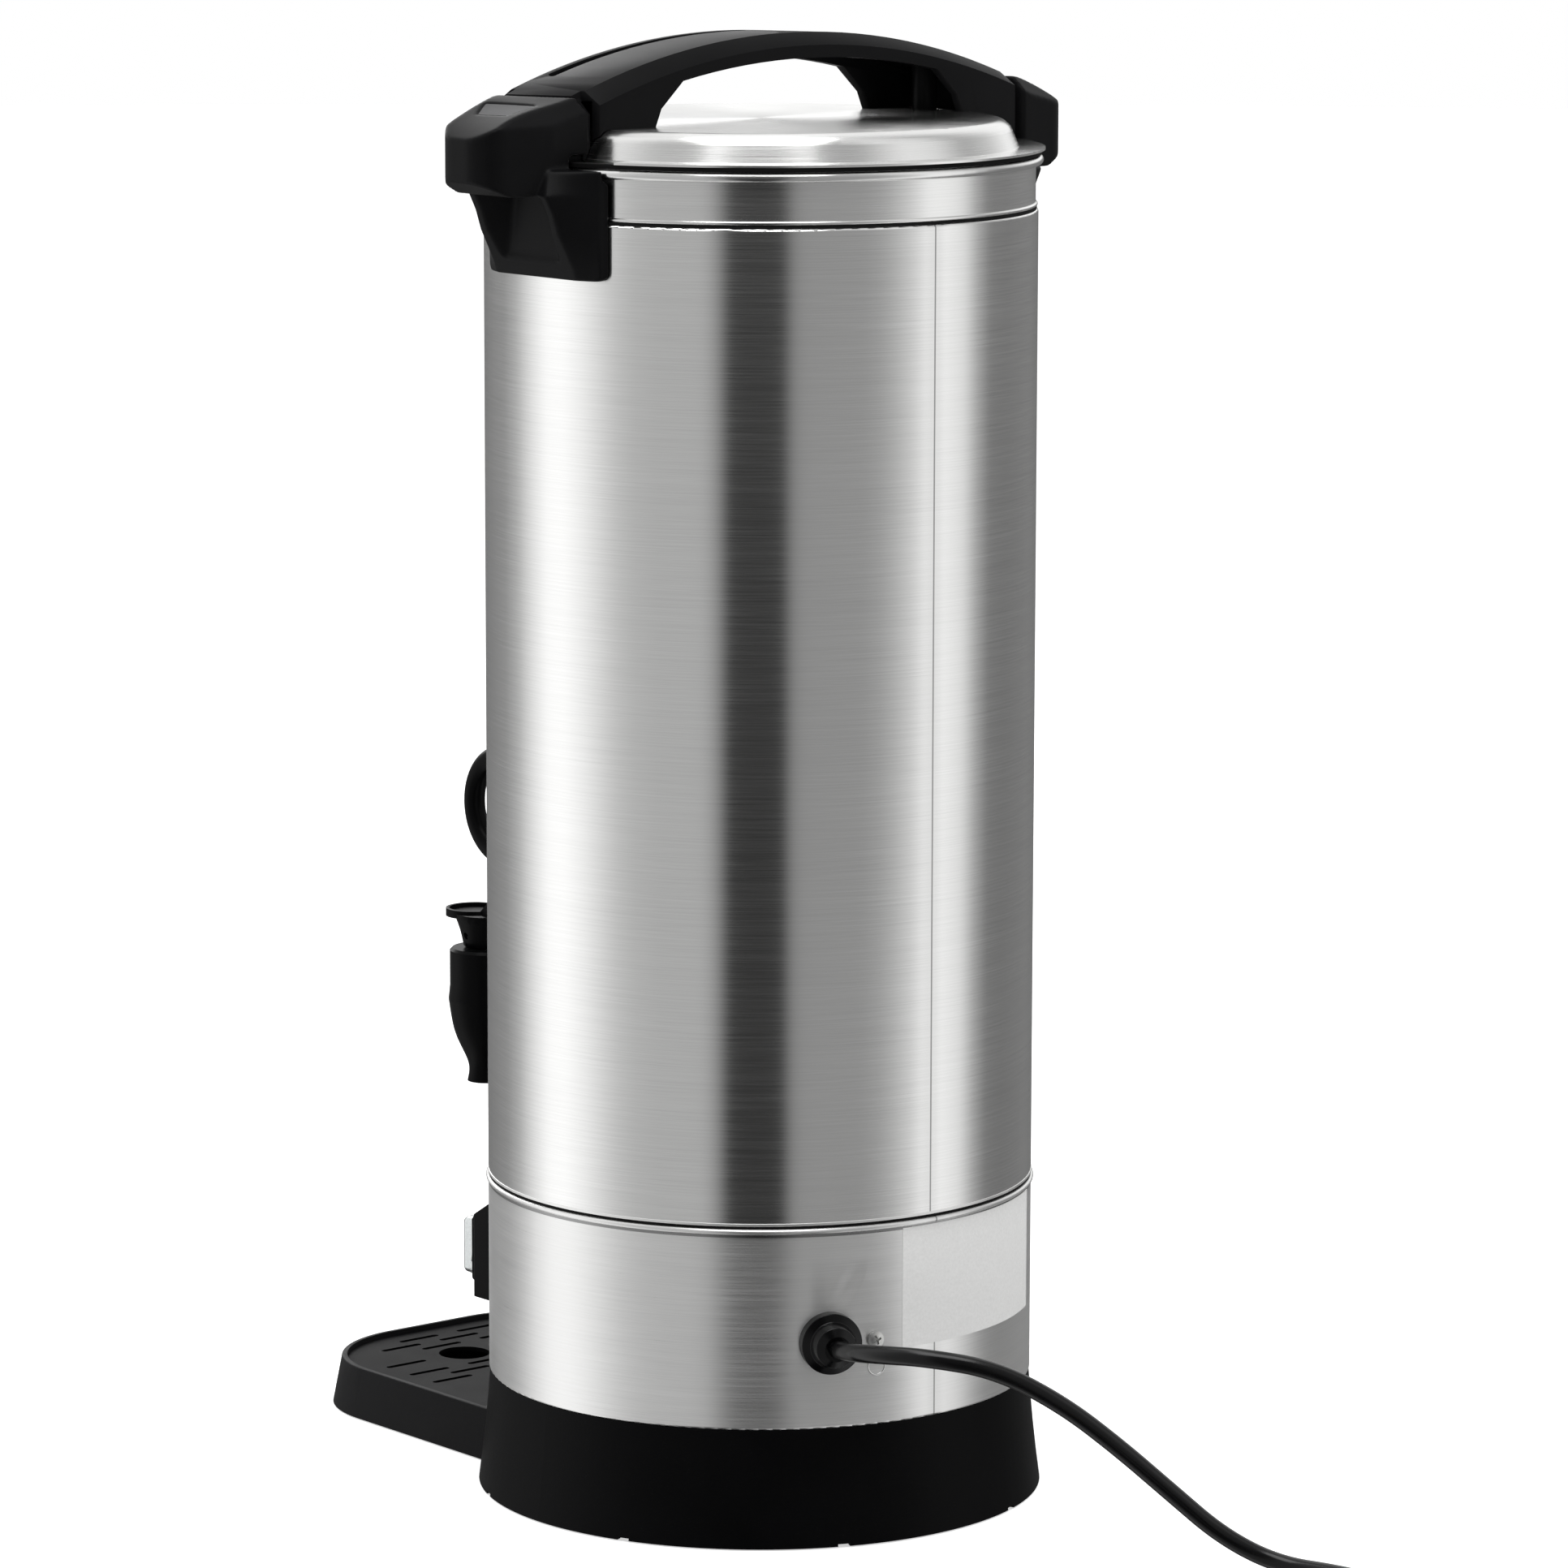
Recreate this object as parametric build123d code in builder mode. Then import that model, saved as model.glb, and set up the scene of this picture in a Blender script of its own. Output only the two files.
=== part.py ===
from build123d import *
import os
from math import atan, cos, degrees, pi, radians, sin, sqrt, tan

os.makedirs("parts", exist_ok=True)

# Percolating coffee urn. Millimetres, +Z up. The origin is on the urn's axis where its base
# meets the table; the tap and the drip tray face -Y and the two side handles are on +X and -X.

# ---- Driving dimensions -------------------------------------------------------------------
# Vessel
body_radius = 111.0            # outside of the jacket and of the base band
jacket_sheet = 0.7
tank_gap = 0.4                 # tank to jacket
tank_wall = 0.8
tank_floor = 146.0             # underside of the tank's floor
floor_corner = 12.0
well_radius = 24.0             # sump in the floor that the percolator stands in
well_depth = 12.0
jacket_top = 522.4
seam_height = 128.7            # where the jacket meets the base band
seam_groove = 1.2
collar_bead = 0.8              # ridge of the collar above the jacket
rim_bead = 1.9                 # radius of the tank's rolled rim
rim_rise = 19.6
rim_height = jacket_top + rim_rise  # centre of that bead
rim_overhang = 1.1             # bead centre outside the tank wall

# Base
skirt_top = 47.3
skirt_flare = 4.5              # how far the skirt's foot stands out from the band
skirt_wall = 2.5
shelf_width = 8.0
vent_count = 8
vent_width = 5.0
vent_height = 1.0
cover_height = 4.0             # underside of the bottom cover
cover_sheet = 1.0
foot_radius = 9.0
foot_circle = 86.0
foot_count = 4
boss_radius = 5.0
boss_circle = 102.0
screw_radius = 1.7               # self-tapping screws under the base
boss_count = 3

# Lid
flange_radius = 113.6
flange_rise = 4.0
flange_height = rim_height + flange_rise  # underside of the lid's flange
lid_sheet = 0.9
dome_foot = 102.5
dome_shoulder = 98.0
dome_height = 11.0
dome_fillet = 6.0
plug_depth = 9.0
plug_gap = 0.5                 # lid plug to tank wall
gasket_gap = 0.3               # gasket to rolled rim

# Lid bar and side handles. Their top is one arch, and its crown runs askew to the bar.
joint_reach = 112.5            # where bar and handle meet, on the bar's centre line
joint_rise = 48.6
joint_height = jacket_top + joint_rise
crown_rise = 21.4
crown_height = joint_height + crown_rise
skew = 0.5                     # sideways shift of joint and arch per millimetre across
joint_gap = 0.8
bar_half_width = 20.0
bar_edge_in = 5.0
bar_edge_down = 6.0
bar_skin = 3.5
bar_side = 3.0
grip_roof = 66.0               # finger gap: half length of its roof, at its sides, at its foot
grip_side = 77.0
grip_side_drop = 6.0
grip_side_height = joint_height - grip_side_drop
grip_foot = 85.0
grip_roof_drop = 10.0
grip_height = crown_height - grip_roof_drop
grip_shoulder_rise = 4.5
grip_shoulder = joint_height + grip_shoulder_rise
grip_corner = 8.0
rebate_width = 4.5             # groove beside the joint
rebate_depth = 3.0
liner_thickness = 2.0
groove_offset = 10.0
groove_width = 3.6
groove_depth = 1.6
groove_end = 99.0
boss_reach = 86.0
twist_travel = 9.0             # degrees of lid twist between locked and free
tab_root = 104.9               # lock tabs under the ends of the bar
tab_thickness = 2.3
tab_angles = (-10.5, 8.8)
notch_angles = (-11.0, 20.5)   # where the flange is cut back for tab and handle
handle_reach = 151.4
handle_end_half = 14.7
underside_rise = 11.1
handle_underside = jacket_top + underside_rise
chin_rise = 5.5
handle_chin = handle_underside + chin_rise
end_drop = 16.5
end_top = joint_height - end_drop
end_corner = 13.0
shoulder_rise = 4.4
shoulder_top = handle_chin + shoulder_rise
apron_drop = 21.9
apron_bottom = jacket_top - apron_drop
apron_half = 35.5
apron_corner = 3.0
apron_edge = 4.2               # thickness of the apron's edge on the jacket
cheek_half = 25.0
insert_depth = 1.6
insert_thickness = 1.2

# Tap
tap_reach = 185.0              # nozzle axis to urn axis
shank_rise = 25.0
shank_height = tank_floor + shank_rise
shank_radius = 9.0
shank_bore = 5.0
barrel_radius = 15.8
barrel_rise = 7.0
barrel_top = shank_height + barrel_rise
bonnet_rise = 16.2
bonnet_height = barrel_top + bonnet_rise
nozzle_drop = 35.0
nozzle_bottom = shank_height - nozzle_drop
nozzle_radius = 8.0
nozzle_bore = 5.2
seat_drop = 8.0
seat_height = shank_height - seat_drop
stem_radius = 2.5
stem_clearance = 0.08
pivot_rise = 5.8
lever_pivot = bonnet_height + pivot_rise
lever_tilt = 20.0              # degrees
stem_lift = 3.0
hub_radius = 9.5
hub_gap = 0.4
ring_radius = 21.75            # finger ring on the lever, to the middle of its bar
ring_bar = 9.0
ring_setback = 14.6
ring_rise = 57.0
ring_height = lever_pivot + ring_rise

# Level gauge
gauge_reach = 121.5
gauge_radius = 4.5
gauge_wall = 1.2
gauge_drop = 22.4
gauge_top = jacket_top - gauge_drop
guard_half_width = 11.0
guard_depth = 17.0

# Control panel
panel_half_width = 52.0
panel_bottom = 59.6
panel_top = 93.7
panel_slope = 0.6              # rise of the panel's top per millimetre back
panel_face = 127.5
panel_wall = 2.2
switch_x = 39.0
switch_height = 79.2
switch_width = 13.0
switch_length = 19.0
rocker_tilt = 10.0             # degrees of travel
lamp_radius = 4.0
lamp_xs = (-34.0, -16.0)

# Drip tray
tray_half_width = 71.0         # at its top edge
tray_front = 227.5
tray_corner = 49.5
tray_flare = 4.0               # how far the foot of its wall stands out
tray_height = 20.6
tray_wall = 2.2
tray_gap = 0.4                 # tray to base skirt
ledge_width = 2.5              # ledge that carries the grid
deck_height = 18.6
deck_thickness = 1.8
deck_gap = 0.3
slot_length = 20.5
slot_width = 3.0
slot_pitch = 16.4
column_pitch = 15.5
slot_margin = 12.0
finger_hole = 11.0
hole_reach = 181.0

# Cord
cord_diameter = 7.3
bushing_angle = 64.9
bushing_height = 82.6
bushing_radius = 12.3
bushing_reach = 13.0
bushing_neck = 10.0            # where the bushing passes through the band
ground_angle = 74.8            # earth screw beside the cord
ground_height = 82.2
ground_head = 3.4
ground_thread = 1.8
coil_mean = 40.0
coil_turns = 2

# ---- Worked-out places --------------------------------------------------------------------
jacket_inside = body_radius - jacket_sheet
tank_radius = jacket_inside - tank_gap
tank_inside = tank_radius - tank_wall
skirt_radius = body_radius + skirt_flare
arch_rise = crown_height - joint_height
arch_radius = (joint_reach**2 + arch_rise**2) / (2 * arch_rise)
arch_centre = crown_height - arch_radius
flange_top = flange_height + lid_sheet
dome_top = flange_top + dome_height
tap_y = -tap_reach
wall_clearance = 0.3


def under_arch(drop, reach, floor):
    """Face in the XZ plane below the crown line lowered by drop, out to reach."""
    radius = arch_radius - drop
    edge = arch_centre + sqrt(radius**2 - reach**2)
    with BuildSketch(Plane.XZ) as region:
        with BuildLine():
            ThreePointArc((-reach, edge), (0, arch_centre + radius), (reach, edge))
            Polyline((reach, edge), (reach, floor), (-reach, floor), (-reach, edge))
        make_face()
    return region.sketch


def arch_block(drop, reach, floor):
    """Solid below the crown lowered by drop; the crown runs askew to the X axis."""
    with BuildPart() as block:
        extrude(under_arch(drop, reach, floor), amount=1.8 * apron_half, dir=(-skew, 1, 0), both=True)
    return block.part


def plan_block(outline, floor, height):
    """Upright prism of an XY sketch."""
    with BuildPart() as block:
        extrude(Plane.XY.offset(floor) * outline, amount=height)
    return block.part


def facing(a, b, c, kept):
    """Plane through three points, with its normal towards a fourth."""
    a, b, c = Vector(a), Vector(b), Vector(c)
    normal = (b - a).cross(c - a)
    if normal.dot(Vector(kept) - a) < 0:
        normal = -normal
    return Plane(origin=a, x_dir=b - a, z_dir=normal)

# ---- Tank, jacket and base ----------------------------------------------------------------
def radial(angle, reach, height):
    """Plane that faces outwards from the axis."""
    out = Vector(1, 0, 0).rotate(Axis.Z, angle)
    return Plane(origin=out * reach + Vector(0, 0, height), z_dir=out)


handle_screw_angle = 14.0
handle_screw_height = 518.0
handle_screw_radius = 1.9
handle_screw_length = 12.0
screw_places = [radial(side + tilt, tank_inside, handle_screw_height)
                for side in (0, 180) for tilt in (-handle_screw_angle, handle_screw_angle)]

with BuildPart() as wall_holes:
    with Locations(radial(-90, tank_inside - 5, shank_height)):
        Cylinder(shank_radius + wall_clearance, 10, align=(Align.CENTER, Align.CENTER, Align.MIN))
    with Locations(*screw_places):
        Cylinder(handle_screw_radius + 0.1, 30)

with BuildPart() as inner_tank:
    with BuildSketch(Plane.XZ):
        with BuildLine():
            FilletPolyline(
                (0, tank_floor - well_depth),
                (well_radius, tank_floor - well_depth),
                (well_radius + 3, tank_floor),
                (tank_radius, tank_floor),
                (tank_radius, rim_height),
                radius=(2, 2, floor_corner),
            )
            offset(amount=tank_wall, side=Side.LEFT)
        make_face()
        with Locations((tank_radius + rim_overhang, rim_height)):
            Circle(rim_bead)
        with Locations((tank_radius, jacket_top + seam_groove + collar_bead)):
            Circle(collar_bead)
    revolve(axis=Axis.Z)
    add(wall_holes.part, mode=Mode.SUBTRACT)

with BuildPart() as outer_shell:
    with BuildSketch(Plane.XZ):
        with BuildLine():
            bottom = seam_height + seam_groove
            FilletPolyline(
                (body_radius, bottom),
                (body_radius, jacket_top),
                (tank_radius, jacket_top),
                radius=0.95,
            )
            Polyline((tank_radius, jacket_top), (tank_radius, jacket_top - jacket_sheet),
                     (jacket_inside, jacket_top - jacket_sheet), (jacket_inside, bottom),
                     (body_radius, bottom))
        make_face()
    revolve(axis=Axis.Z)
    add(wall_holes.part, mode=Mode.SUBTRACT)

band_neck = jacket_inside - wall_clearance
band_ledge = 12.0
with BuildPart() as base_band:
    with BuildSketch(Plane.XZ):
        with BuildLine():
            FilletPolyline(
                (body_radius - shelf_width, skirt_top + jacket_sheet),
                (body_radius - jacket_sheet, skirt_top + jacket_sheet),
                (body_radius - jacket_sheet, seam_height - jacket_sheet),
                (band_neck - jacket_sheet, seam_height - jacket_sheet),
                (band_neck - jacket_sheet, tank_floor - jacket_sheet),
                (band_neck - band_ledge, tank_floor - jacket_sheet),
                radius=0.3,
            )
            offset(amount=jacket_sheet, side=Side.RIGHT)
        make_face()
        with Locations((body_radius - 0.1, seam_height - 1.1)):
            Circle(1.1)
    revolve(axis=Axis.Z)
    with Locations(radial(bushing_angle, body_radius, bushing_height)):
        Cylinder(bushing_neck, 8, mode=Mode.SUBTRACT)
    with Locations(radial(ground_angle, body_radius, ground_height)):
        Cylinder(ground_thread, 8, mode=Mode.SUBTRACT)
    with BuildSketch(Plane.XZ):
        with Locations((switch_x, switch_height)):
            RectangleRounded(switch_width + 6, switch_length + 8, 2)
        with Locations(*[(lamp_x, switch_height) for lamp_x in lamp_xs]):
            Circle(lamp_radius + 2)
    extrude(amount=2 * body_radius, mode=Mode.SUBTRACT)

with BuildPart() as base_skirt:
    with BuildSketch(Plane.XZ):
        with BuildLine():
            Polyline(
                (body_radius - 0.4, skirt_top),
                (body_radius - shelf_width, skirt_top),
                (body_radius - shelf_width, skirt_top - skirt_wall),
                (body_radius - skirt_wall - 0.4, skirt_top - skirt_wall),
                (skirt_radius - skirt_wall, 0),
                (skirt_radius, 0),
            )
            TangentArc((skirt_radius, 0), (body_radius - 0.4, skirt_top),
                       tangent=(-0.14, 1))
        make_face()
    revolve(axis=Axis.Z)
    with BuildSketch(Plane.XY):
        with PolarLocations(skirt_radius, vent_count, start_angle=22.5):
            Rectangle(4 * skirt_wall, vent_width)
    extrude(amount=vent_height, mode=Mode.SUBTRACT)
    with BuildSketch(Plane.XY.offset(cover_height + cover_sheet)):
        with PolarLocations(boss_circle, boss_count, start_angle=30):
            Circle(boss_radius)
            Circle(screw_radius, mode=Mode.SUBTRACT)
    extrude(amount=skirt_top - skirt_wall - cover_height - cover_sheet)

with BuildPart() as bottom_cover:
    with BuildSketch(Plane.XY.offset(cover_height)):
        Circle(skirt_radius - skirt_wall - skirt_flare - wall_clearance)
        with PolarLocations(boss_circle, boss_count, start_angle=30):
            Circle(screw_radius, mode=Mode.SUBTRACT)
        with PolarLocations(foot_circle, foot_count, start_angle=45):
            Circle(foot_radius - 3, mode=Mode.SUBTRACT)
        with PolarLocations(55, 12):
            SlotOverall(18, 4, rotation=0, mode=Mode.SUBTRACT)
    extrude(amount=cover_sheet)

with BuildPart() as rubber_feet:
    with BuildSketch(Plane.XY):
        with PolarLocations(foot_circle, foot_count, start_angle=45):
            Circle(foot_radius)
    extrude(amount=cover_height)
    chamfer(rubber_feet.edges().group_by(Axis.Z)[0], 1.0)
    with BuildSketch(Plane.XY.offset(cover_height)):
        with PolarLocations(foot_circle, foot_count, start_angle=45):
            Circle(foot_radius - 3)
    extrude(amount=cover_sheet + 2)

with BuildPart() as bottom_screws:
    with BuildSketch(Plane.XY.offset(cover_height)):
        with PolarLocations(boss_circle, boss_count, start_angle=30):
            Circle(3.4)
    extrude(amount=-2)
    with BuildSketch(Plane.XY.offset(cover_height)):
        with PolarLocations(boss_circle, boss_count, start_angle=30):
            Circle(screw_radius - 0.05)
    extrude(amount=12)
    with Locations((0, 0, cover_height - 2)):
        with PolarLocations(boss_circle, boss_count, start_angle=30):
            Box(4, 0.9, 1.6, mode=Mode.SUBTRACT)

# ---- Heater, thermostat and wiring in the base -------------------------------------------
sump_bottom = tank_floor - well_depth
with BuildPart() as boil_element:
    with BuildSketch(Plane.XY.offset(sump_bottom)):
        Circle(well_radius - 2)
    extrude(amount=-9)
    chamfer(boil_element.edges().group_by(Axis.Z)[0], 2)
    with BuildSketch(Plane.XY.offset(sump_bottom - 9)):
        with Locations((-10, 0), (10, 0)):
            Rectangle(5, 0.8)
    extrude(amount=-7)

with BuildPart() as warming_element:
    with BuildSketch(Plane.XZ):
        with Locations((58, tank_floor - 3)):
            RectangleRounded(9, 6, 1.2)
    revolve(axis=Axis.Z, revolution_arc=330)

with BuildPart() as thermostat:
    with BuildSketch(Plane.XY.offset(tank_floor)):
        with Locations((0, 38)):
            Circle(8.5)
    extrude(amount=-9)
    with BuildSketch(Plane.XY.offset(tank_floor)):
        with Locations((0, 38)):
            SlotOverall(30, 9)
    extrude(amount=-1.2)
    with BuildSketch(Plane.XY.offset(tank_floor - 9)):
        with Locations((-4, 38), (4, 38)):
            Rectangle(0.8, 5)
    extrude(amount=-8)

with BuildPart() as thermal_fuse:
    with Locations((0, -40, tank_floor - 2.6)):
        Cylinder(2.2, 22, rotation=(0, 90, 0))
    with BuildSketch(Plane.XY.offset(tank_floor)):
        with Locations((0, -40)):
            Rectangle(7, 16)
    extrude(amount=-5.6)

shield_height = 112.0
post_circle = 102.0
with BuildPart() as heat_shield:
    with BuildSketch(Plane.XZ):
        with BuildLine():
            FilletPolyline((14, shield_height - 5), (24, shield_height),
                           (post_circle + 4, shield_height),
                           (post_circle + 4, shield_height + 6), radius=(3, 2))
            offset(amount=jacket_sheet, side=Side.RIGHT)
        make_face()
    revolve(axis=Axis.Z)
    with BuildSketch(Plane.XY.offset(shield_height - 10)):
        with PolarLocations(post_circle - 4, 4, start_angle=45):
            Circle(1.6)
        with Locations((0, 80)):
            SlotOverall(24, 8)
    extrude(amount=20, mode=Mode.SUBTRACT)

with BuildPart() as shield_posts:
    with BuildSketch(Plane.XY.offset(shield_height)):
        with PolarLocations(post_circle - 4, 4, start_angle=45):
            Circle(3.2)
    extrude(amount=tank_floor - jacket_sheet - shield_height)
    with BuildSketch(Plane.XY.offset(shield_height - jacket_sheet)):
        with PolarLocations(post_circle - 4, 4, start_angle=45):
            Circle(1.5)
    extrude(amount=jacket_sheet)

block_y = 56.0
block_size = (44.0, 18.0, 14.0)
with BuildPart() as terminal_block:
    with Locations((0, block_y, shield_height - jacket_sheet)):
        Box(*block_size, align=(Align.CENTER, Align.CENTER, Align.MAX))
    with Locations((0, block_y, shield_height - jacket_sheet - block_size[2])):
        with GridLocations(12, 1, 3, 1):
            Box(9, 12, 6, align=(Align.CENTER, Align.CENTER, Align.MIN), mode=Mode.SUBTRACT)
            Cylinder(2.2, 8, align=(Align.CENTER, Align.CENTER, Align.MIN))

wire_radius = 1.4
outlet = Vector(1, 0, 0).rotate(Axis.Z, bushing_angle)
block_bottom = shield_height - jacket_sheet - block_size[2]
with BuildPart() as wiring:
    for lead in (-1, 0, 1):
        end = Vector(12 * lead, block_y, block_bottom)
        start = Vector(end.X, 90, bushing_height + 2)
        with BuildLine() as route:
            FilletPolyline(start, (end.X, 80, bushing_height - 4),
                           (end.X, block_y, bushing_height - 4), end, radius=4)
        with BuildSketch(Plane(origin=route.line @ 0, z_dir=route.line % 0)):
            Circle(wire_radius)
        sweep(path=route.wire())

# ---- Cord outlet --------------------------------------------------------------------------
half_cord = cord_diameter / 2
with BuildPart() as cord_bushing:
    with BuildSketch(Plane.XZ):
        with BuildLine():
            FilletPolyline((half_cord, -10), (bushing_neck + 1, -10),
                           (bushing_radius, 0), (bushing_radius, 4.5), (bushing_radius - 3, 6),
                           (bushing_radius - 4.2, bushing_reach - 2),
                           (half_cord + 1.4, bushing_reach), (half_cord, bushing_reach),
                           radius=0.4)
            Line((half_cord, bushing_reach), (half_cord, -10))
        make_face()
    revolve(axis=Axis.Z)
    # the band's curve behind the head
    with Locations((0, 0, -body_radius)):
        Cylinder(body_radius, 3 * bushing_radius, rotation=(90, 0, 0), mode=Mode.SUBTRACT)
    with Locations((0, 0, 2)):
        Cylinder(bushing_neck, 18, align=(Align.CENTER, Align.CENTER, Align.MAX))
    Cylinder(half_cord, 40, mode=Mode.SUBTRACT)
cord_bushing.part = radial(bushing_angle, body_radius, bushing_height).location * cord_bushing.part

with BuildPart(radial(ground_angle, body_radius + 0.1, ground_height)) as ground_screw:
    Cylinder(ground_head, 1.8, align=(Align.CENTER, Align.CENTER, Align.MIN))
    Cylinder(ground_thread - 0.05, 10, align=(Align.CENTER, Align.CENTER, Align.MAX))

# ---- Lid ----------------------------------------------------------------------------------
tab_reach = flange_radius - wall_clearance


def sector(inner, outer, angles):
    """Ring sector in the XY plane, on +X and again on -X."""
    first, last = angles
    middle = (first + last) / 2
    with BuildSketch() as ring:
        Circle(outer)
        Circle(inner, mode=Mode.SUBTRACT)
        with BuildLine():
            near = Vector(2 * outer, 0).rotate(Axis.Z, first)
            centre = Vector(2 * outer, 0).rotate(Axis.Z, middle)
            far = Vector(2 * outer, 0).rotate(Axis.Z, last)
            Polyline((0, 0), near, centre, far, (0, 0))
        make_face(mode=Mode.INTERSECT)
    return ring.sketch + ring.sketch.rotate(Axis.Z, 180)


flange_notches = plan_block(sector(tab_root - wall_clearance, flange_radius + 1, notch_angles),
                            flange_height, 2 * lid_sheet)
with BuildPart() as lid_shell:
    with BuildSketch(Plane.XZ):
        with BuildLine():
            FilletPolyline((flange_radius, flange_height), (dome_foot, flange_height),
                           (dome_shoulder, flange_height + dome_height),
                           (0, flange_height + dome_height), radius=(1.2, dome_fillet))
            offset(amount=lid_sheet, side=Side.RIGHT)
        make_face()
        with Locations((tank_inside - plug_gap - 0.5, flange_height + 0.2)):
            Rectangle(1.0, plug_depth, align=(Align.CENTER, Align.MAX))
    revolve(axis=Axis.Z)
    add(flange_notches, mode=Mode.SUBTRACT)
    with BuildSketch(Plane.XY.offset(flange_height)):
        with Locations((-boss_reach, 0), (boss_reach, 0)):
            Circle(2.3)
    extrude(amount=2 * dome_height, mode=Mode.SUBTRACT)

rim_top = rim_height + rim_bead
with BuildPart() as lid_gasket:
    with BuildSketch(Plane.XZ):
        with Locations((tank_inside - plug_gap, flange_height)):
            Rectangle(3.4, flange_height - rim_top - gasket_gap, align=(Align.MIN, Align.MAX))
    revolve(axis=Axis.Z)
    fillet(lid_gasket.edges().filter_by(GeomType.CIRCLE).sort_by(SortBy.RADIUS)[-1], 0.3)

# ---- Lid bar ------------------------------------------------------------------------------
bar_foot = flange_height
bar_end = joint_reach - joint_gap / 2
arch_above = arch_block(-5, joint_reach + 45, bar_foot - 5)
bar_arch = arch_block(0, bar_end, bar_foot)
with BuildSketch() as inside_plan:
    Rectangle(3 * joint_reach, 2 * (bar_half_width - bar_side))
bar_hollow = (arch_block(bar_skin, bar_end - bar_skin, bar_foot - 1)
              & plan_block(inside_plan.sketch, bar_foot - 1, 60))

with BuildSketch(Plane.XZ) as gap_outline:
    with BuildLine():
        ThreePointArc((-grip_roof, grip_shoulder), (0, grip_height), (grip_roof, grip_shoulder))
        Polyline((grip_roof, grip_shoulder), (grip_side, grip_side_height),
                 (grip_foot, bar_foot - 1), (-grip_foot, bar_foot - 1),
                 (-grip_side, grip_side_height), (-grip_roof, grip_shoulder))
    make_face()
    fillet(gap_outline.vertices().filter_by_position(Axis.Z, bar_foot, crown_height), grip_corner)
with BuildPart() as finger_gap:
    extrude(gap_outline.sketch, amount=1.8 * apron_half, dir=(-skew, 1, 0), both=True)

with BuildSketch() as groove_plan:
    with Locations((groove_end / 2, -groove_offset), (-groove_end / 2, groove_offset)):
        SlotOverall(groove_end, groove_width)
# the bar's sides stand back beside the joint
with BuildSketch(Plane.YZ) as rebate_core:
    with BuildLine():
        core_half = bar_half_width - rebate_depth
        core_top = joint_height - bar_edge_down - 1
        Polyline((-core_half, 0), (-core_half, core_top),
                 (-core_half + bar_edge_in - 0.5, core_top + bar_edge_down),
                 (-core_half + bar_edge_in - 0.5, 2 * crown_height),
                 (core_half - bar_edge_in + 0.5, 2 * crown_height),
                 (core_half - bar_edge_in + 0.5, core_top + bar_edge_down),
                 (core_half, core_top), (core_half, 0), (-core_half, 0))
    make_face()
with BuildPart() as rebate:
    add(arch_block(-5, bar_end + 1, bar_foot - 1) - arch_block(-6, bar_end - rebate_width, bar_foot - 2))
    extrude(rebate_core.sketch, amount=2 * joint_reach, both=True, mode=Mode.SUBTRACT)
groove_cut = (plan_block(groove_plan.sketch, bar_foot, 60)
              & (arch_above - arch_block(groove_depth, joint_reach + 45, bar_foot - 5)))
lock_tabs = plan_block(sector(tab_root, tab_reach, tab_angles), bar_foot, tab_thickness)

with BuildPart() as lid_bar:
    add(bar_arch)
    with BuildSketch(Plane.XY.offset(bar_foot)):
        Rectangle(3 * joint_reach, 2 * bar_half_width)
    extrude(amount=60, mode=Mode.INTERSECT)
    side_edges = lid_bar.faces().filter_by(Axis.Y).edges()
    chamfer(side_edges.filter_by(GeomType.LINE, reverse=True), bar_edge_down, bar_edge_in)
    add(bar_hollow, mode=Mode.SUBTRACT)
    add(finger_gap.part, mode=Mode.SUBTRACT)
    # screw posts
    with BuildSketch(Plane.XY.offset(bar_foot)):
        with Locations((-boss_reach, 0), (boss_reach, 0)):
            Circle(5)
    extrude(amount=30.5)
    # what the lid fills
    with BuildSketch(Plane.XZ):
        with BuildLine():
            FilletPolyline((flange_radius + 20, flange_top), (dome_foot + lid_sheet, flange_top),
                           (dome_shoulder + lid_sheet, dome_top), (0, dome_top),
                           radius=(1.2, dome_fillet))
            Polyline((0, dome_top), (0, bar_foot - 5), (flange_radius + 20, bar_foot - 5),
                     (flange_radius + 20, flange_top))
        make_face()
    revolve(axis=Axis.Z, mode=Mode.SUBTRACT)
    add(rebate.part, mode=Mode.SUBTRACT)
    add(lock_tabs)
    with BuildSketch(Plane.XY.offset(bar_foot)):
        with Locations((-boss_reach, 0), (boss_reach, 0)):
            Circle(1.7)
    extrude(amount=26, mode=Mode.SUBTRACT)
    add(groove_cut, mode=Mode.SUBTRACT)

liner_arch = arch_block(bar_skin + wall_clearance, grip_roof - 4, bar_foot)
liner_core = arch_block(bar_skin + liner_thickness, grip_roof, bar_foot - 1)
with BuildPart() as bar_liner:
    add(liner_arch)
    with BuildSketch(Plane.XY.offset(bar_foot)):
        Rectangle(3 * joint_reach, 2 * (bar_half_width - bar_side - wall_clearance))
    extrude(amount=60, mode=Mode.INTERSECT)
    add(liner_core, mode=Mode.SUBTRACT)

with BuildPart() as bar_screws:
    with BuildSketch(Plane.XY.offset(flange_height + dome_height)):
        with Locations((-boss_reach, 0), (boss_reach, 0)):
            Circle(4.2)
    extrude(amount=-2.2)
    with BuildSketch(Plane.XY.offset(flange_height + dome_height)):
        with Locations((-boss_reach, 0), (boss_reach, 0)):
            Circle(1.65)
    extrude(amount=12)

# ---- Side handles -------------------------------------------------------------------------
joint_x = joint_reach + joint_gap / 2
side_top = joint_height - bar_edge_down
near_joint = joint_x - skew * bar_half_width
far_joint = joint_x + skew * bar_half_width
inside_head = (joint_reach + 20, 0, handle_chin)
envelope_top = bar_foot + tab_thickness + 0.4
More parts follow.
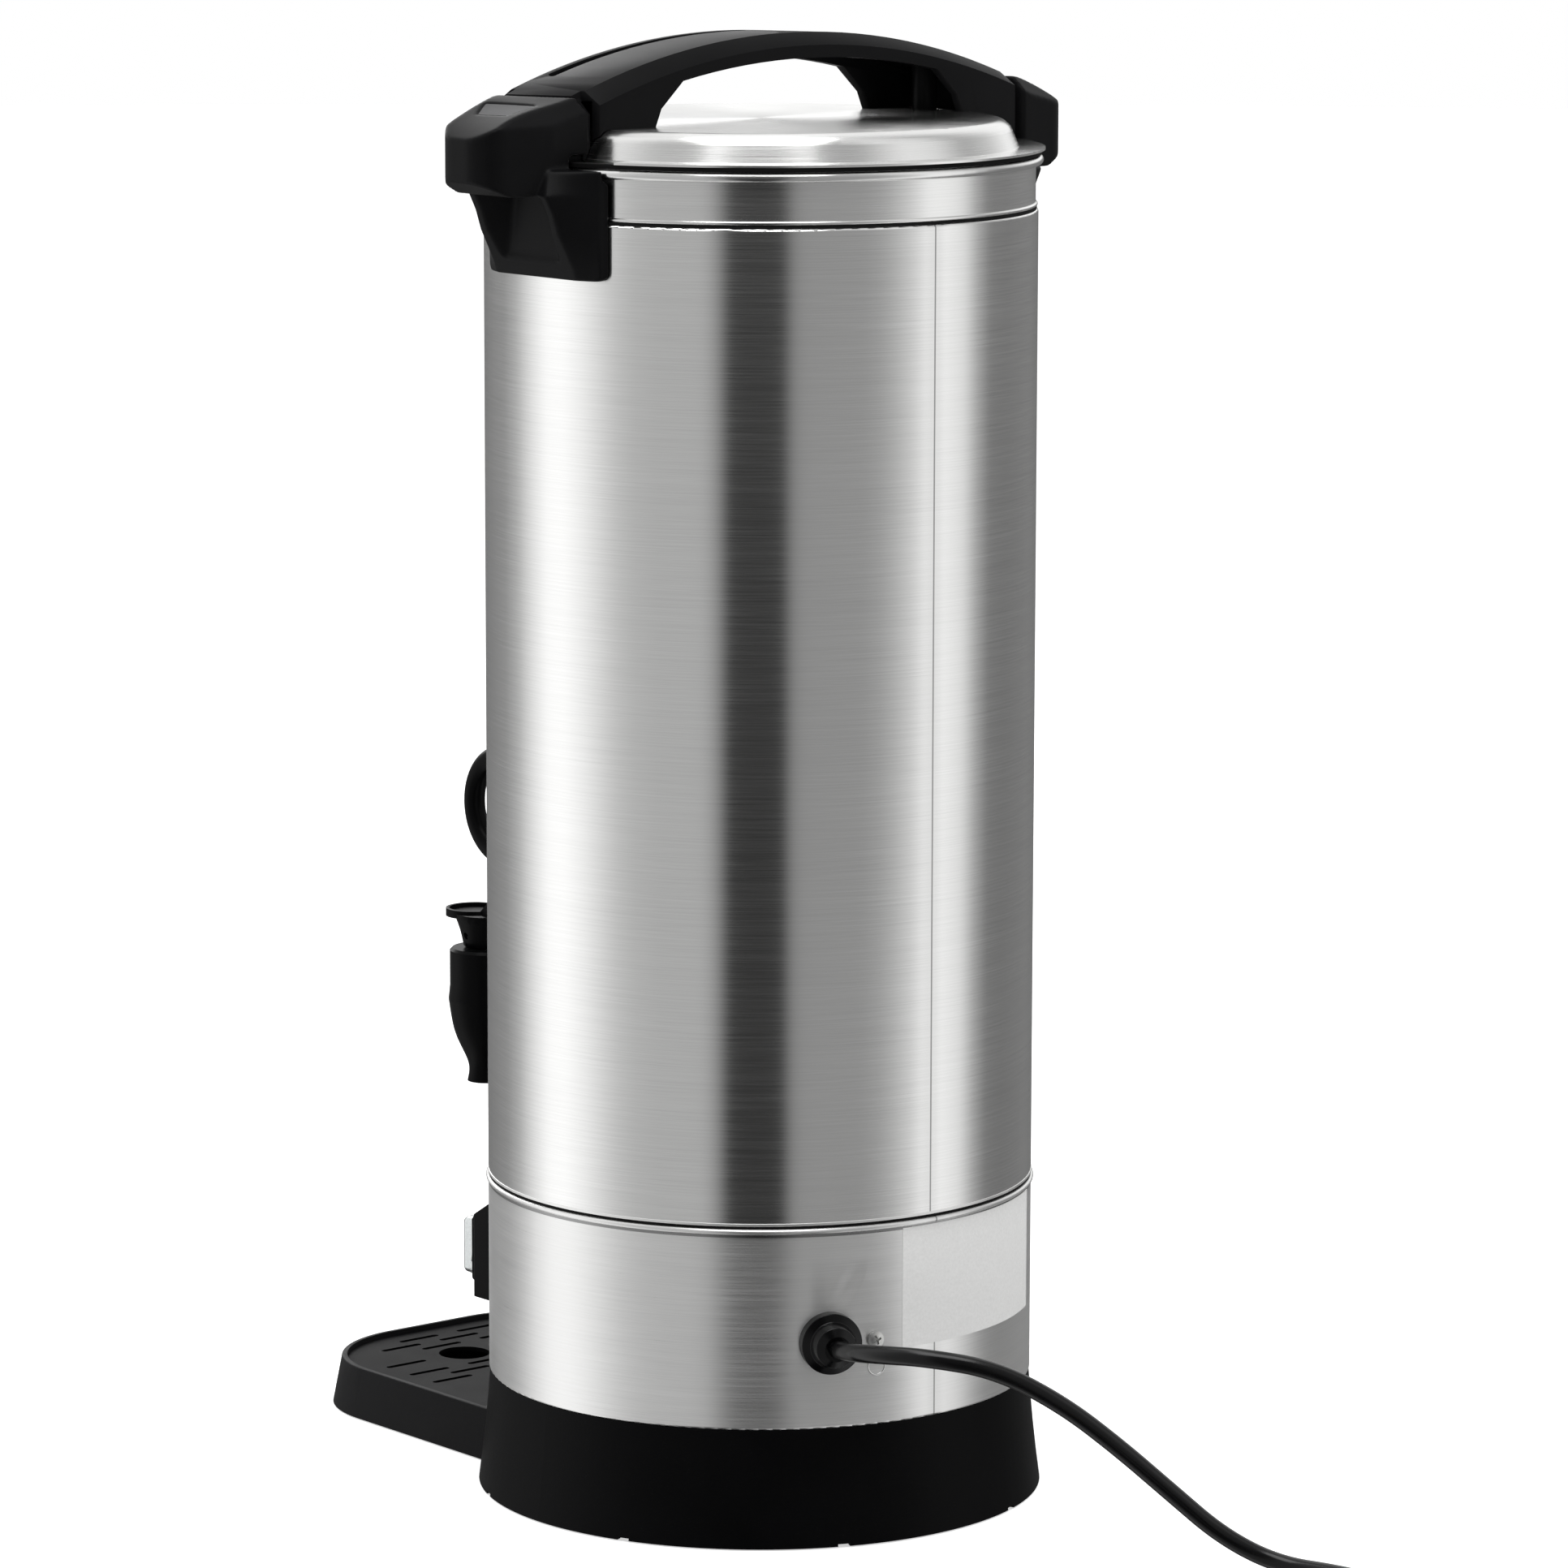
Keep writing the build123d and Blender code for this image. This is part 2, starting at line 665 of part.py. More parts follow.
# share of the way from the joint to the end, and the top's height on its two sides
head_stations = ((0, joint_height, joint_height),
                 (0.25, joint_height - 3.1, joint_height - 1.1),
                 (0.5, joint_height - 5.5, joint_height - 4.5),
                 (0.8, joint_height - 10.4, joint_height - 10.1), (1, end_top, end_top))


def head_block(drop):
    """Solid under the head's top lowered by drop: level at the joint and at the end."""
    wide = 2 * bar_half_width
    with BuildPart() as block:
        for share, near_top, far_top in head_stations:
            middle = joint_x + share * (handle_reach + 1 - joint_x)
            across = Vector(-skew * (1 - share), 1, 0)
            with BuildSketch(Plane(origin=(middle, 0, 0), x_dir=across, z_dir=across.cross(Vector(0, 0, 1)))):
                with BuildLine():
                    reach = wide * across.length
                    rise = (near_top - far_top) * wide / bar_half_width / 2
                    height = (near_top + far_top) / 2 - drop
                    Polyline((-reach, handle_underside), (reach, handle_underside),
                             (reach, height + rise), (-reach, height - rise), (-reach, handle_underside))
                make_face()
        loft()
    return block.part



with BuildSketch() as insert_plan:
    with BuildLine():
        Polyline((handle_reach - 21.5, -10.7), (handle_reach - 30.8, 10.1),
                 (handle_reach - 17.5, 8.5), (handle_reach - 13.7, -5.6),
                 (handle_reach - 21.5, -10.7))
    make_face()
    fillet(insert_plan.vertices(), 0.8)
with BuildSketch() as insert_outline:
    add(insert_plan.sketch)
    offset(amount=-0.15, kind=Kind.INTERSECTION)
insert_bed = head_block(insert_depth)
insert_pocket = plan_block(insert_plan.sketch, bar_foot, 60) & (head_block(-5) - insert_bed)

wall_x = sqrt((body_radius + apron_edge)**2 - apron_half**2)
# reach of the cheeks' front edge at each height, and of the panel at the back of the scoop
cheek_profile = ((apron_bottom, 113.8), (504.0, 114.8), (510.0, 117.8), (518.0, 122.0),
                 (526.0, 124.6), (handle_underside, 128.4))
scoop_profile = ((502.5, 117.5, 118.5, 18), (509.5, 121.5, 114.6, 16), (518.0, 125.5, 114.6, 14),
                 (526.0, 128.0, 114.6, 13), (handle_underside, 132.0, 114.6, 12))

# the lid bar's foot passes over the handle when the lid turns
with BuildSketch(Plane.XY.offset(bar_foot - wall_clearance)) as foot_plan:
    with BuildLine():
        edge_y = bar_half_width + 1
        Polyline((60, edge_y), (joint_x - skew * edge_y, edge_y), (joint_x + skew * edge_y, -edge_y),
                 (joint_reach + 20, -edge_y), (joint_reach + 20, -3 * edge_y), (60, -3 * edge_y),
                 (60, edge_y))
    make_face()
with BuildPart() as foot_sweep:
    extrude(foot_plan.sketch, amount=envelope_top - bar_foot + wall_clearance)
    Cylinder(joint_reach + 12, 4 * bar_foot, mode=Mode.INTERSECT)

with BuildSketch(Plane.YZ) as apron_outline:
    with Locations((0, apron_bottom)):
        Rectangle(2 * apron_half, 2 * apron_half, align=(Align.CENTER, Align.MIN))
    fillet(apron_outline.vertices().group_by(Axis.Z)[0], apron_corner)
with BuildPart() as apron_front:
    extrude(apron_outline.sketch, amount=2 * handle_reach)

with BuildPart() as right_handle:
    # head: the arch carried on past the joint, tapering to the end face
    with BuildSketch(Plane.XY.offset(handle_underside)) as head_plan:
        with BuildLine():
            Polyline((near_joint, bar_half_width), (joint_reach + 8, bar_half_width),
                     (handle_reach, handle_end_half), (handle_reach, -handle_end_half),
                     (joint_reach + 14, -bar_half_width), (far_joint, -bar_half_width),
                     (near_joint, bar_half_width))
        make_face()
        fillet(head_plan.vertices().group_by(Axis.X)[-1], end_corner)
    extrude(amount=60)
    add(head_block(0), mode=Mode.INTERSECT)
    split(bisect_by=facing((near_joint, bar_half_width, side_top),
                           (handle_reach - 5, handle_end_half + 1, end_top + 4.5),
                           (near_joint + 2, bar_half_width - bar_edge_in, joint_height),
                           inside_head), keep=Keep.TOP)
    split(bisect_by=facing((far_joint, -bar_half_width, side_top),
                           (far_joint - 2, -bar_half_width + bar_edge_in, joint_height),
                           (handle_reach - 5, -handle_end_half - 1, end_top + 4.5),
                           inside_head), keep=Keep.TOP)
    split(bisect_by=facing((handle_reach, -1, handle_chin), (handle_reach, 1, handle_chin),
                           (handle_reach - 12, -1, handle_underside), inside_head), keep=Keep.TOP)
    # cheeks and apron down the jacket
    for height, reach in cheek_profile:
        with BuildSketch(Plane.XY.offset(height)):
            with BuildLine():
                Polyline((100, -apron_half), (wall_x, -apron_half), (reach, -cheek_half),
                         (reach, cheek_half), (wall_x, apron_half), (100, apron_half),
                         (100, -apron_half))
            make_face()
    loft(ruled=True)
    for height, reach, half in ((handle_underside, 128.4, cheek_half),
                                (shoulder_top, 124.0, bar_half_width)):
        with BuildSketch(Plane.XY.offset(height)):
            with BuildLine():
                Polyline((100, -apron_half), (wall_x, -apron_half), (reach, -half),
                         (reach, half), (wall_x, apron_half), (100, apron_half),
                         (100, -apron_half))
            make_face()
    loft(ruled=True)
    add(apron_front.part, mode=Mode.INTERSECT)
    # finger scoop
    for height, mouth, back, half in scoop_profile:
        with BuildSketch(Plane.XY.offset(height)):
            with BuildLine():
                Polyline((back, -half), (mouth, -cheek_half + 1), (mouth, cheek_half - 1),
                         (back, half), (back, -half))
            make_face()
    loft(ruled=True, mode=Mode.SUBTRACT)
    # room for jacket, rolled rim, flange and lock tabs
    with BuildSketch(Plane.XZ):
        with BuildLine():
            Polyline((0, apron_bottom - 5), (body_radius, apron_bottom - 5),
                     (body_radius, rim_height - 2 * rim_bead),
                     (flange_radius + 0.5, rim_height - rim_bead),
                     (flange_radius + 0.5, envelope_top), (0, envelope_top),
                     (0, apron_bottom - 5))
        make_face()
    revolve(axis=Axis.Z, mode=Mode.SUBTRACT)
    add(foot_sweep.part, mode=Mode.SUBTRACT)
    add(insert_pocket, mode=Mode.SUBTRACT)
    with Locations(*screw_places[:2]):
        Cylinder(handle_screw_radius - 0.1, handle_screw_length + 1, mode=Mode.SUBTRACT)

with BuildPart() as left_handle:
    add(right_handle.part, rotation=(0, 0, 180))

with BuildPart() as right_insert:
    add(plan_block(insert_outline.sketch, bar_foot, 60))
    add(head_block(insert_depth - insert_thickness) - insert_bed, mode=Mode.INTERSECT)

with BuildPart() as left_insert:
    add(right_insert.part, rotation=(0, 0, 180))

with BuildPart() as handle_screws:
    with Locations(*screw_places):
        Cylinder(handle_screw_radius - 0.1, handle_screw_length)
    with Locations(*[place * Location((0, 0, -0.15)) for place in screw_places]):
        Cylinder(4, 2.4, align=(Align.CENTER, Align.CENTER, Align.MAX))

# ---- Tap ----------------------------------------------------------------------------------
tap_axis = Location((0, tap_y, 0))
chamber_radius = 11.2
seat_thickness = 3.0
with BuildPart() as tap_body:
    with BuildSketch(Plane.XZ):
        with BuildLine():
            neck = barrel_radius - 0.9
            Line((0, nozzle_bottom), (nozzle_radius, nozzle_bottom))
            Spline((nozzle_radius, nozzle_bottom), (nozzle_radius - 0.7, nozzle_bottom + 6),
                   (nozzle_radius + 2.2, nozzle_bottom + 14), (neck - 0.9, seat_height - 3),
                   (barrel_radius, shank_height), (neck + 0.4, barrel_top),
                   tangents=((-0.2, 1), (-0.1, 1)))
            Polyline((neck + 0.4, barrel_top), (0, barrel_top), (0, nozzle_bottom))
        make_face()
    revolve(axis=Axis.Z)
    with Locations((0, 0, seat_height + seat_thickness)):
        Cylinder(chamber_radius, 40, align=(Align.CENTER, Align.CENTER, Align.MIN), mode=Mode.SUBTRACT)
    with Locations((0, 0, nozzle_bottom - 1)):
        Cylinder(nozzle_bore, 60, align=(Align.CENTER, Align.CENTER, Align.MIN), mode=Mode.SUBTRACT)
tap_body.part = tap_axis * tap_body.part
shank_inner = tank_inside - 14
shank_start = tap_reach - chamber_radius - 1
with BuildPart() as tap_shank:
    with Locations(radial(-90, shank_inner, shank_height)):
        Cylinder(shank_radius, shank_start - shank_inner, align=(Align.CENTER, Align.CENTER, Align.MIN))
    with Locations(radial(-90, body_radius + 2, shank_height)):
        Cylinder(shank_radius + 4, 3.5, align=(Align.CENTER, Align.CENTER, Align.MIN))
    fillet(tap_shank.edges().filter_by(GeomType.CIRCLE).sort_by(SortBy.RADIUS)[-2:], 0.8)
    # socket that carries the gauge glass
    with Locations((0, -gauge_reach, shank_height)):
        Cylinder(gauge_radius + 3, 18, align=(Align.CENTER, Align.CENTER, Align.MIN))
tap_body.part = tap_body.part + (tap_shank.part - tap_axis * Cylinder(
    chamber_radius + 2, 2 * barrel_top))
with BuildPart() as tap_bores:
    with Locations(radial(-90, shank_inner - 1, shank_height)):
        Cylinder(shank_bore, tap_reach - shank_inner - 2,
                 align=(Align.CENTER, Align.CENTER, Align.MIN))
    with Locations((0, -gauge_reach, shank_height)):
        Cylinder(gauge_radius - gauge_wall, 20, align=(Align.CENTER, Align.CENTER, Align.MIN))
    with Locations((0, -gauge_reach, shank_height + 8)):
        Cylinder(gauge_radius, 12, align=(Align.CENTER, Align.CENTER, Align.MIN))
tap_body.part = tap_body.part - tap_bores.part
# flat top of the barrel, cut back into the shank for the bonnet
tap_body.part = tap_body.part - Location((0, tap_y, barrel_top)) * Cylinder(
    barrel_radius + 0.3, 40, align=(Align.CENTER, Align.CENTER, Align.MIN))

bonnet_base = barrel_top
with BuildPart(Plane((0, tap_y, 0))) as tap_bonnet:
    with Locations((0, 0, bonnet_base)):
        Cylinder(barrel_radius - 0.5, bonnet_height - bonnet_base,
                 align=(Align.CENTER, Align.CENTER, Align.MIN))
    chamfer(tap_bonnet.edges().group_by(Axis.Z)[-1], 1.1)
    with Locations((0, 0, bonnet_base)):
        Cylinder(chamber_radius - 2, bonnet_height - bonnet_base - 3.5,
                 align=(Align.CENTER, Align.CENTER, Align.MIN), mode=Mode.SUBTRACT)
    with Locations((0, 0, bonnet_base)):
        Cylinder(stem_radius + stem_clearance, 40,
                 align=(Align.CENTER, Align.CENTER, Align.MIN), mode=Mode.SUBTRACT)
    # threaded spigot down into the barrel
    with Locations((0, 0, bonnet_base)):
        Cylinder(chamber_radius - 0.1, 4, align=(Align.CENTER, Align.CENTER, Align.MAX))
        Cylinder(chamber_radius - 2, 4, align=(Align.CENTER, Align.CENTER, Align.MAX),
                 mode=Mode.SUBTRACT)

pin_radius = 1.5
pin_clearance = 0.05
seat_top = seat_height + seat_thickness
with BuildPart(Plane((0, tap_y, 0))) as tap_stem:
    with Locations((0, 0, seat_top + 5)):
        Cylinder(stem_radius, lever_pivot + 3 - seat_top - 5,
                 align=(Align.CENTER, Align.CENTER, Align.MIN))
    fillet(tap_stem.edges().group_by(Axis.Z)[-1], 1.2)
    with Locations((0, 0, seat_top + 7)):
        Cylinder(5.5, 1.2, align=(Align.CENTER, Align.CENTER, Align.MIN))
    with Locations((0, 0, lever_pivot)):
        Cylinder(pin_radius, 20, rotation=(0, 90, 0), mode=Mode.SUBTRACT)

with BuildPart(Plane((0, tap_y, 0))) as seat_cup:
    with Locations((0, 0, seat_top)):
        Cylinder(8, 6.8, align=(Align.CENTER, Align.CENTER, Align.MIN))
    chamfer(seat_cup.edges().group_by(Axis.Z)[-1], 2)
    with Locations((0, 0, seat_top + 5)):
        Cylinder(stem_radius, 4, align=(Align.CENTER, Align.CENTER, Align.MIN), mode=Mode.SUBTRACT)

with BuildPart(Plane((0, tap_y, lever_pivot))) as lever_pin:
    Cylinder(pin_radius, 2 * hub_radius - 1, rotation=(0, 90, 0))

hub_bottom = bonnet_height + hub_gap
tab_height = lever_pivot + 7
with BuildPart() as tap_lever:
    with BuildSketch(Plane.XZ):
        with BuildLine():
            Polyline((0, hub_bottom), (hub_radius - 0.6, hub_bottom), (hub_radius, hub_bottom + 0.8))
            Spline((hub_radius, hub_bottom + 0.8), (hub_radius + 0.9, lever_pivot),
                   (hub_radius + 3.2, tab_height))
            Polyline((hub_radius + 3.2, tab_height), (hub_radius + 3.2, tab_height + 2),
                     (0, tab_height + 2), (0, hub_bottom))
        make_face()
    revolve(axis=Axis.Z)
    # thumb tab towards the user, with a raised lip
    with BuildSketch(Plane.XY.offset(tab_height)):
        with Locations((0, -8.0)):
            Ellipse(12.2, 11.9)
    extrude(amount=3.4)
    with BuildSketch(Plane.XY.offset(tab_height + 1.8)):
        with Locations((0, -8.0)):
            Ellipse(10.7, 10.4)
    extrude(amount=3, mode=Mode.SUBTRACT)
    # stalk up to the finger ring
    with BuildSketch(Plane.YZ):
        with BuildLine():
            stalk_front = ring_setback - 2
            stalk_back = stalk_front + ring_bar
            Polyline((2, tab_height), (hub_radius + 3, tab_height), (stalk_back, tab_height + 14),
                     (stalk_back, ring_height - 15), (stalk_front, ring_height - 15),
                     (stalk_front, tab_height + 12), (2, tab_height + 3), (2, tab_height))
        make_face()
    extrude(amount=ring_bar / 2, both=True)
    with Locations((0, ring_setback, ring_height)):
        Torus(ring_radius, ring_bar / 2, rotation=(0, 90, 0))
    # slot for the stem and hole for the pin
    with Locations((0, 0, hub_bottom)):
        Box(2 * stem_radius + 0.4, 10, lever_pivot - hub_bottom + 4.5,
            align=(Align.CENTER, Align.CENTER, Align.MIN), mode=Mode.SUBTRACT)
    with Locations((0, 0, lever_pivot)):
        Cylinder(pin_radius + pin_clearance, 60, rotation=(0, 90, 0), mode=Mode.SUBTRACT)
tap_lever.part = tap_axis * tap_lever.part

wall_washer = 2.0
with BuildPart() as tap_washers:
    with Locations(radial(-90, body_radius, shank_height)):
        Cylinder(shank_radius + 3, wall_washer, align=(Align.CENTER, Align.CENTER, Align.MIN))
        Cylinder(shank_radius, wall_washer, align=(Align.CENTER, Align.CENTER, Align.MIN),
                 mode=Mode.SUBTRACT)
    Cylinder(body_radius, 4 * body_radius, mode=Mode.SUBTRACT)
    with Locations(radial(-90, tank_inside - 3.2, shank_height)):
        Cylinder(shank_radius + 3, 2, align=(Align.CENTER, Align.CENTER, Align.MIN))
        Cylinder(shank_radius, 2, align=(Align.CENTER, Align.CENTER, Align.MIN), mode=Mode.SUBTRACT)

with BuildPart() as tap_nut:
    with BuildSketch(radial(-90, tank_inside - 9.2, shank_height)):
        RegularPolygon(shank_radius + 4.5, 6)
        Circle(shank_radius, mode=Mode.SUBTRACT)
    extrude(amount=6)

# ---- Level gauge --------------------------------------------------------------------------
gauge_bottom = shank_height + 8
with BuildPart(Plane((0, -gauge_reach, gauge_bottom))) as gauge_glass:
    Cylinder(gauge_radius, gauge_top - gauge_bottom, align=(Align.CENTER, Align.CENTER, Align.MIN))
    Cylinder(gauge_radius - gauge_wall, gauge_top - gauge_bottom,
             align=(Align.CENTER, Align.CENTER, Align.MIN), mode=Mode.SUBTRACT)

guard_bottom = shank_height + 18.3
guard_top = gauge_top - 12.3
guard_front = body_radius + guard_depth
with BuildPart() as gauge_guard:
    with BuildSketch(Plane.XY.offset(guard_bottom)):
        with Locations((0, -guard_front)):
            Rectangle(2 * guard_half_width, guard_depth + 6, align=(Align.CENTER, Align.MIN))
    extrude(amount=guard_top - guard_bottom)
    fillet(gauge_guard.edges().filter_by(Axis.Z).group_by(Axis.Y)[0], 3)
    with BuildSketch(Plane.XY.offset(guard_bottom)):
        with Locations((0, -guard_front + 1.6)):
            RectangleRounded(2 * guard_half_width - 3.2, 2 * guard_depth, 1.5,
                             align=(Align.CENTER, Align.MIN))
    extrude(amount=guard_top - guard_bottom, mode=Mode.SUBTRACT)
    Cylinder(body_radius, 4 * gauge_top, mode=Mode.SUBTRACT)
    with BuildSketch(Plane.XZ):
        with Locations((0, (guard_bottom + guard_top) / 2)):
            SlotOverall(guard_top - guard_bottom - 30, 7, rotation=90)
    extrude(amount=2 * body_radius, mode=Mode.SUBTRACT)

with BuildPart() as gauge_cap:
    with BuildSketch(Plane.XY.offset(guard_top + 0.3)):
        with Locations((0, -guard_front)):
            Rectangle(2 * guard_half_width, guard_depth + 6, align=(Align.CENTER, Align.MIN))
    extrude(amount=18)
    fillet(gauge_cap.edges().filter_by(Axis.Z).group_by(Axis.Y)[0], 3)
    fillet(gauge_cap.edges().group_by(Axis.Z)[-1], 2)
    Cylinder(body_radius, 4 * gauge_top, mode=Mode.SUBTRACT)
    with Locations((0, -gauge_reach, guard_top)):
        Cylinder(gauge_radius, 12.3, align=(Align.CENTER, Align.CENTER, Align.MIN), mode=Mode.SUBTRACT)

# ---- Percolator ---------------------------------------------------------------------------
basket_radius = 84.0
basket_bottom = 432.0
basket_depth = 78.0
basket_sheet = 0.8
tube_radius = 6.0
with BuildPart() as pump_stem:
    with BuildSketch(Plane.XZ):
        with BuildLine():
            foot = tank_floor - well_depth + tank_wall
            Polyline((tube_radius - 1, foot + 8), (well_radius - 5, foot), (well_radius - 3, foot),
                     (tube_radius, foot + 12), (tube_radius, basket_bottom - 4),
                     (tube_radius + 4, basket_bottom), (tube_radius, basket_bottom),
                     (tube_radius, basket_bottom + basket_depth + 10),
                     (tube_radius - 1, basket_bottom + basket_depth + 10),
                     (tube_radius - 1, foot + 8))
        make_face()
    revolve(axis=Axis.Z)

with BuildPart() as coffee_basket:
    with BuildSketch(Plane.XZ):
        with BuildLine():
            FilletPolyline((tube_radius + 0.5, basket_bottom + 12), (tube_radius + 0.5, basket_bottom),
                           (basket_radius, basket_bottom),
                           (basket_radius, basket_bottom + basket_depth), radius=(0.6, 5))
            offset(amount=basket_sheet, side=Side.LEFT)
        make_face()
    revolve(axis=Axis.Z)
    with BuildSketch(Plane.XY.offset(basket_bottom)):
        for ring, holes in ((25, 8), (45, 12), (65, 16)):
            with PolarLocations(ring, holes):
                Circle(1.5)
    extrude(amount=3, mode=Mode.SUBTRACT)

with BuildPart() as basket_cover:
    cover_level = basket_bottom + basket_depth
    with BuildSketch(Plane.XZ):
        with BuildLine():
            FilletPolyline((tube_radius + 0.4, cover_level + 5), (tube_radius + 0.4, cover_level),
                           (basket_radius - 6, cover_level - 3), (basket_radius - 4, cover_level),
                           (basket_radius + 1, cover_level), radius=0.5)
            offset(amount=basket_sheet, side=Side.LEFT)
        make_face()
    revolve(axis=Axis.Z)
    with BuildSketch(Plane.XY.offset(cover_level - 5)):
        for ring, holes in ((30, 10), (55, 14)):
            with PolarLocations(ring, holes):
                Circle(1.6)
    extrude(amount=10, mode=Mode.SUBTRACT)

# ---- Control panel ------------------------------------------------------------------------
panel_rise = panel_slope * (panel_face - body_radius)


def panel_block(inset, half_width):
    """Block under the panel's face and its sloping top, inset on every side."""
    with BuildSketch(Plane.YZ) as side_view:
        with BuildLine():
            under = inset * (sqrt(1 + panel_slope**2) - panel_slope)
            Polyline((-panel_face + inset, panel_bottom + inset),
                     (-panel_face + inset, panel_top - under),
                     (-body_radius + inset, panel_top + panel_rise - under),
                     (-body_radius + 20, panel_top + panel_rise - under),
                     (-body_radius + 20, panel_bottom + inset),
                     (-panel_face + inset, panel_bottom + inset))
        make_face()
    with BuildPart() as block:
        extrude(side_view.sketch, amount=half_width, both=True)
    return block.part


panel_outside = panel_block(0, panel_half_width)
panel_inside = panel_block(panel_wall, panel_half_width - panel_wall)
with BuildPart() as control_panel:
    add(panel_outside)
    fillet(control_panel.edges().filter_by(Axis.Z).group_by(Axis.Y)[0], 3)
    add(panel_inside, mode=Mode.SUBTRACT)
    Cylinder(body_radius, 4 * panel_top, mode=Mode.SUBTRACT)
    with BuildSketch(Plane.XZ):
        with Locations((switch_x, switch_height)):
            Rectangle(switch_width + 4, switch_length + 4)
        with Locations(*[(lamp_x, switch_height) for lamp_x in lamp_xs]):
            Circle(lamp_radius)
    extrude(amount=2 * body_radius, mode=Mode.SUBTRACT)

frame_lip = 2.0
axle_depth = 3.0
axle_radius = 1.2
axle_length = 1.2              # each end, in the frame's wall
axle_clearance = 0.05
switch_plane = Plane((switch_x, -panel_face, switch_height), x_dir=(1, 0, 0), z_dir=(0, -1, 0))
with BuildPart() as rocker_frame:
    with BuildSketch(switch_plane):
        RectangleRounded(switch_width + 9, switch_length + 9, 2)
    extrude(amount=frame_lip)
    with BuildSketch(switch_plane):
        Rectangle(switch_width + 4 - 0.2, switch_length + 4 - 0.2)
    extrude(amount=-22)
    with BuildSketch(switch_plane.offset(frame_lip)):
        Rectangle(switch_width, switch_length)
    extrude(amount=-14, mode=Mode.SUBTRACT)
    with Locations((switch_x, -panel_face + axle_depth, switch_height)):
        Cylinder(axle_radius + axle_clearance, switch_width + 2 * axle_length + 0.4,
                 rotation=(0, 90, 0), mode=Mode.SUBTRACT)

# rocker: a shallow V that turns on an axle behind the panel's face
rocker_gap = 0.35
rocker_reach = 11.0            # its tips to its axle
with BuildPart() as rocker_switch:
    with BuildSketch(Plane.YZ):
        with BuildLine():
            half = switch_length / 2 - rocker_gap
            lean = tan(radians(rocker_tilt / 2))
            out = -rocker_reach
            Polyline((3, -half + 3.5), (out, -half + 0.6), (out + 2 * half * lean, 0),
                     (out, half - 0.6), (3, half - 3.5), (3, -half + 3.5))
        make_face()
    extrude(amount=switch_width / 2 - rocker_gap, both=True)
    Cylinder(axle_radius, switch_width + 2 * axle_length, rotation=(0, 90, 0))
rocker_switch.part = Location((switch_x, -panel_face + axle_depth, switch_height),
                              (-rocker_tilt / 2, 0, 0)) * rocker_switch.part

cover_reach = 9.0
cover_wall = 0.9
with BuildPart() as switch_cover:
    with BuildSketch(switch_plane.offset(frame_lip)):
        RectangleRounded(switch_width + 6, switch_length + 6, 3)
    extrude(amount=cover_reach, taper=3)
    fillet(switch_cover.faces().sort_by(Axis.Y)[0].edges(), 1.5)
    with BuildSketch(switch_plane.offset(frame_lip)):
        RectangleRounded(switch_width + 6 - 2 * cover_wall, switch_length + 6 - 2 * cover_wall, 2.2)
    extrude(amount=cover_reach - cover_wall, taper=3, mode=Mode.SUBTRACT)

with BuildPart() as pilot_lamps:
    for lamp_x in lamp_xs:
        with Locations(Plane((lamp_x, -panel_face, switch_height), z_dir=(0, -1, 0))):
            Cylinder(lamp_radius + 1.2, 1.2, align=(Align.CENTER, Align.CENTER, Align.MIN))
            Cylinder(lamp_radius - 0.2, 2.6, align=(Align.CENTER, Align.CENTER, Align.MIN))
            Cylinder(lamp_radius - 0.05, 14, align=(Align.CENTER, Align.CENTER, Align.MAX))

# ---- Drip tray ----------------------------------------------------------------------------
tray_back = -66.0


def tray_outline(inset):
    """Plan of the tray's top edge moved inwards, with its round front corners."""
    half = tray_half_width - inset
    with BuildSketch() as plan:
        with Locations((0, -tray_front + inset)):
            Rectangle(2 * half, tray_front + tray_back - inset, align=(Align.CENTER, Align.MIN))
        fillet(plan.vertices().group_by(Axis.Y)[0], tray_corner - inset)
    return plan.sketch


def inside_tray(inset, height):
    """Plan inside the tray's wall at a height, clear of its hollow back."""
    with BuildSketch(Plane.XY.offset(height)) as plan:
        add(tray_outline(inset))
        Circle(skirt_radius + tray_gap + inset, mode=Mode.SUBTRACT)
    return plan.sketch


ledge = deck_height - deck_thickness
basin_plan = inside_tray(tray_wall + ledge_width, tray_wall)
recess_plan = inside_tray(tray_wall, ledge)
deck_plan = inside_tray(tray_wall + deck_gap, ledge)
with BuildPart() as drip_tray:
    with BuildSketch(Plane.XY):
        add(tray_outline(-tray_flare))
    with BuildSketch(Plane.XY.offset(tray_height)):
        add(tray_outline(0))
    loft(ruled=True)
    fillet(drip_tray.edges().group_by(Axis.Z)[-1], 0.8)
    Cylinder(skirt_radius + tray_gap, 4 * tray_height, mode=Mode.SUBTRACT)
    # basin under the grid, and the shallow recess the grid drops into
    extrude(basin_plan, amount=tray_height, mode=Mode.SUBTRACT)
    extrude(recess_plan, amount=tray_height, mode=Mode.SUBTRACT)

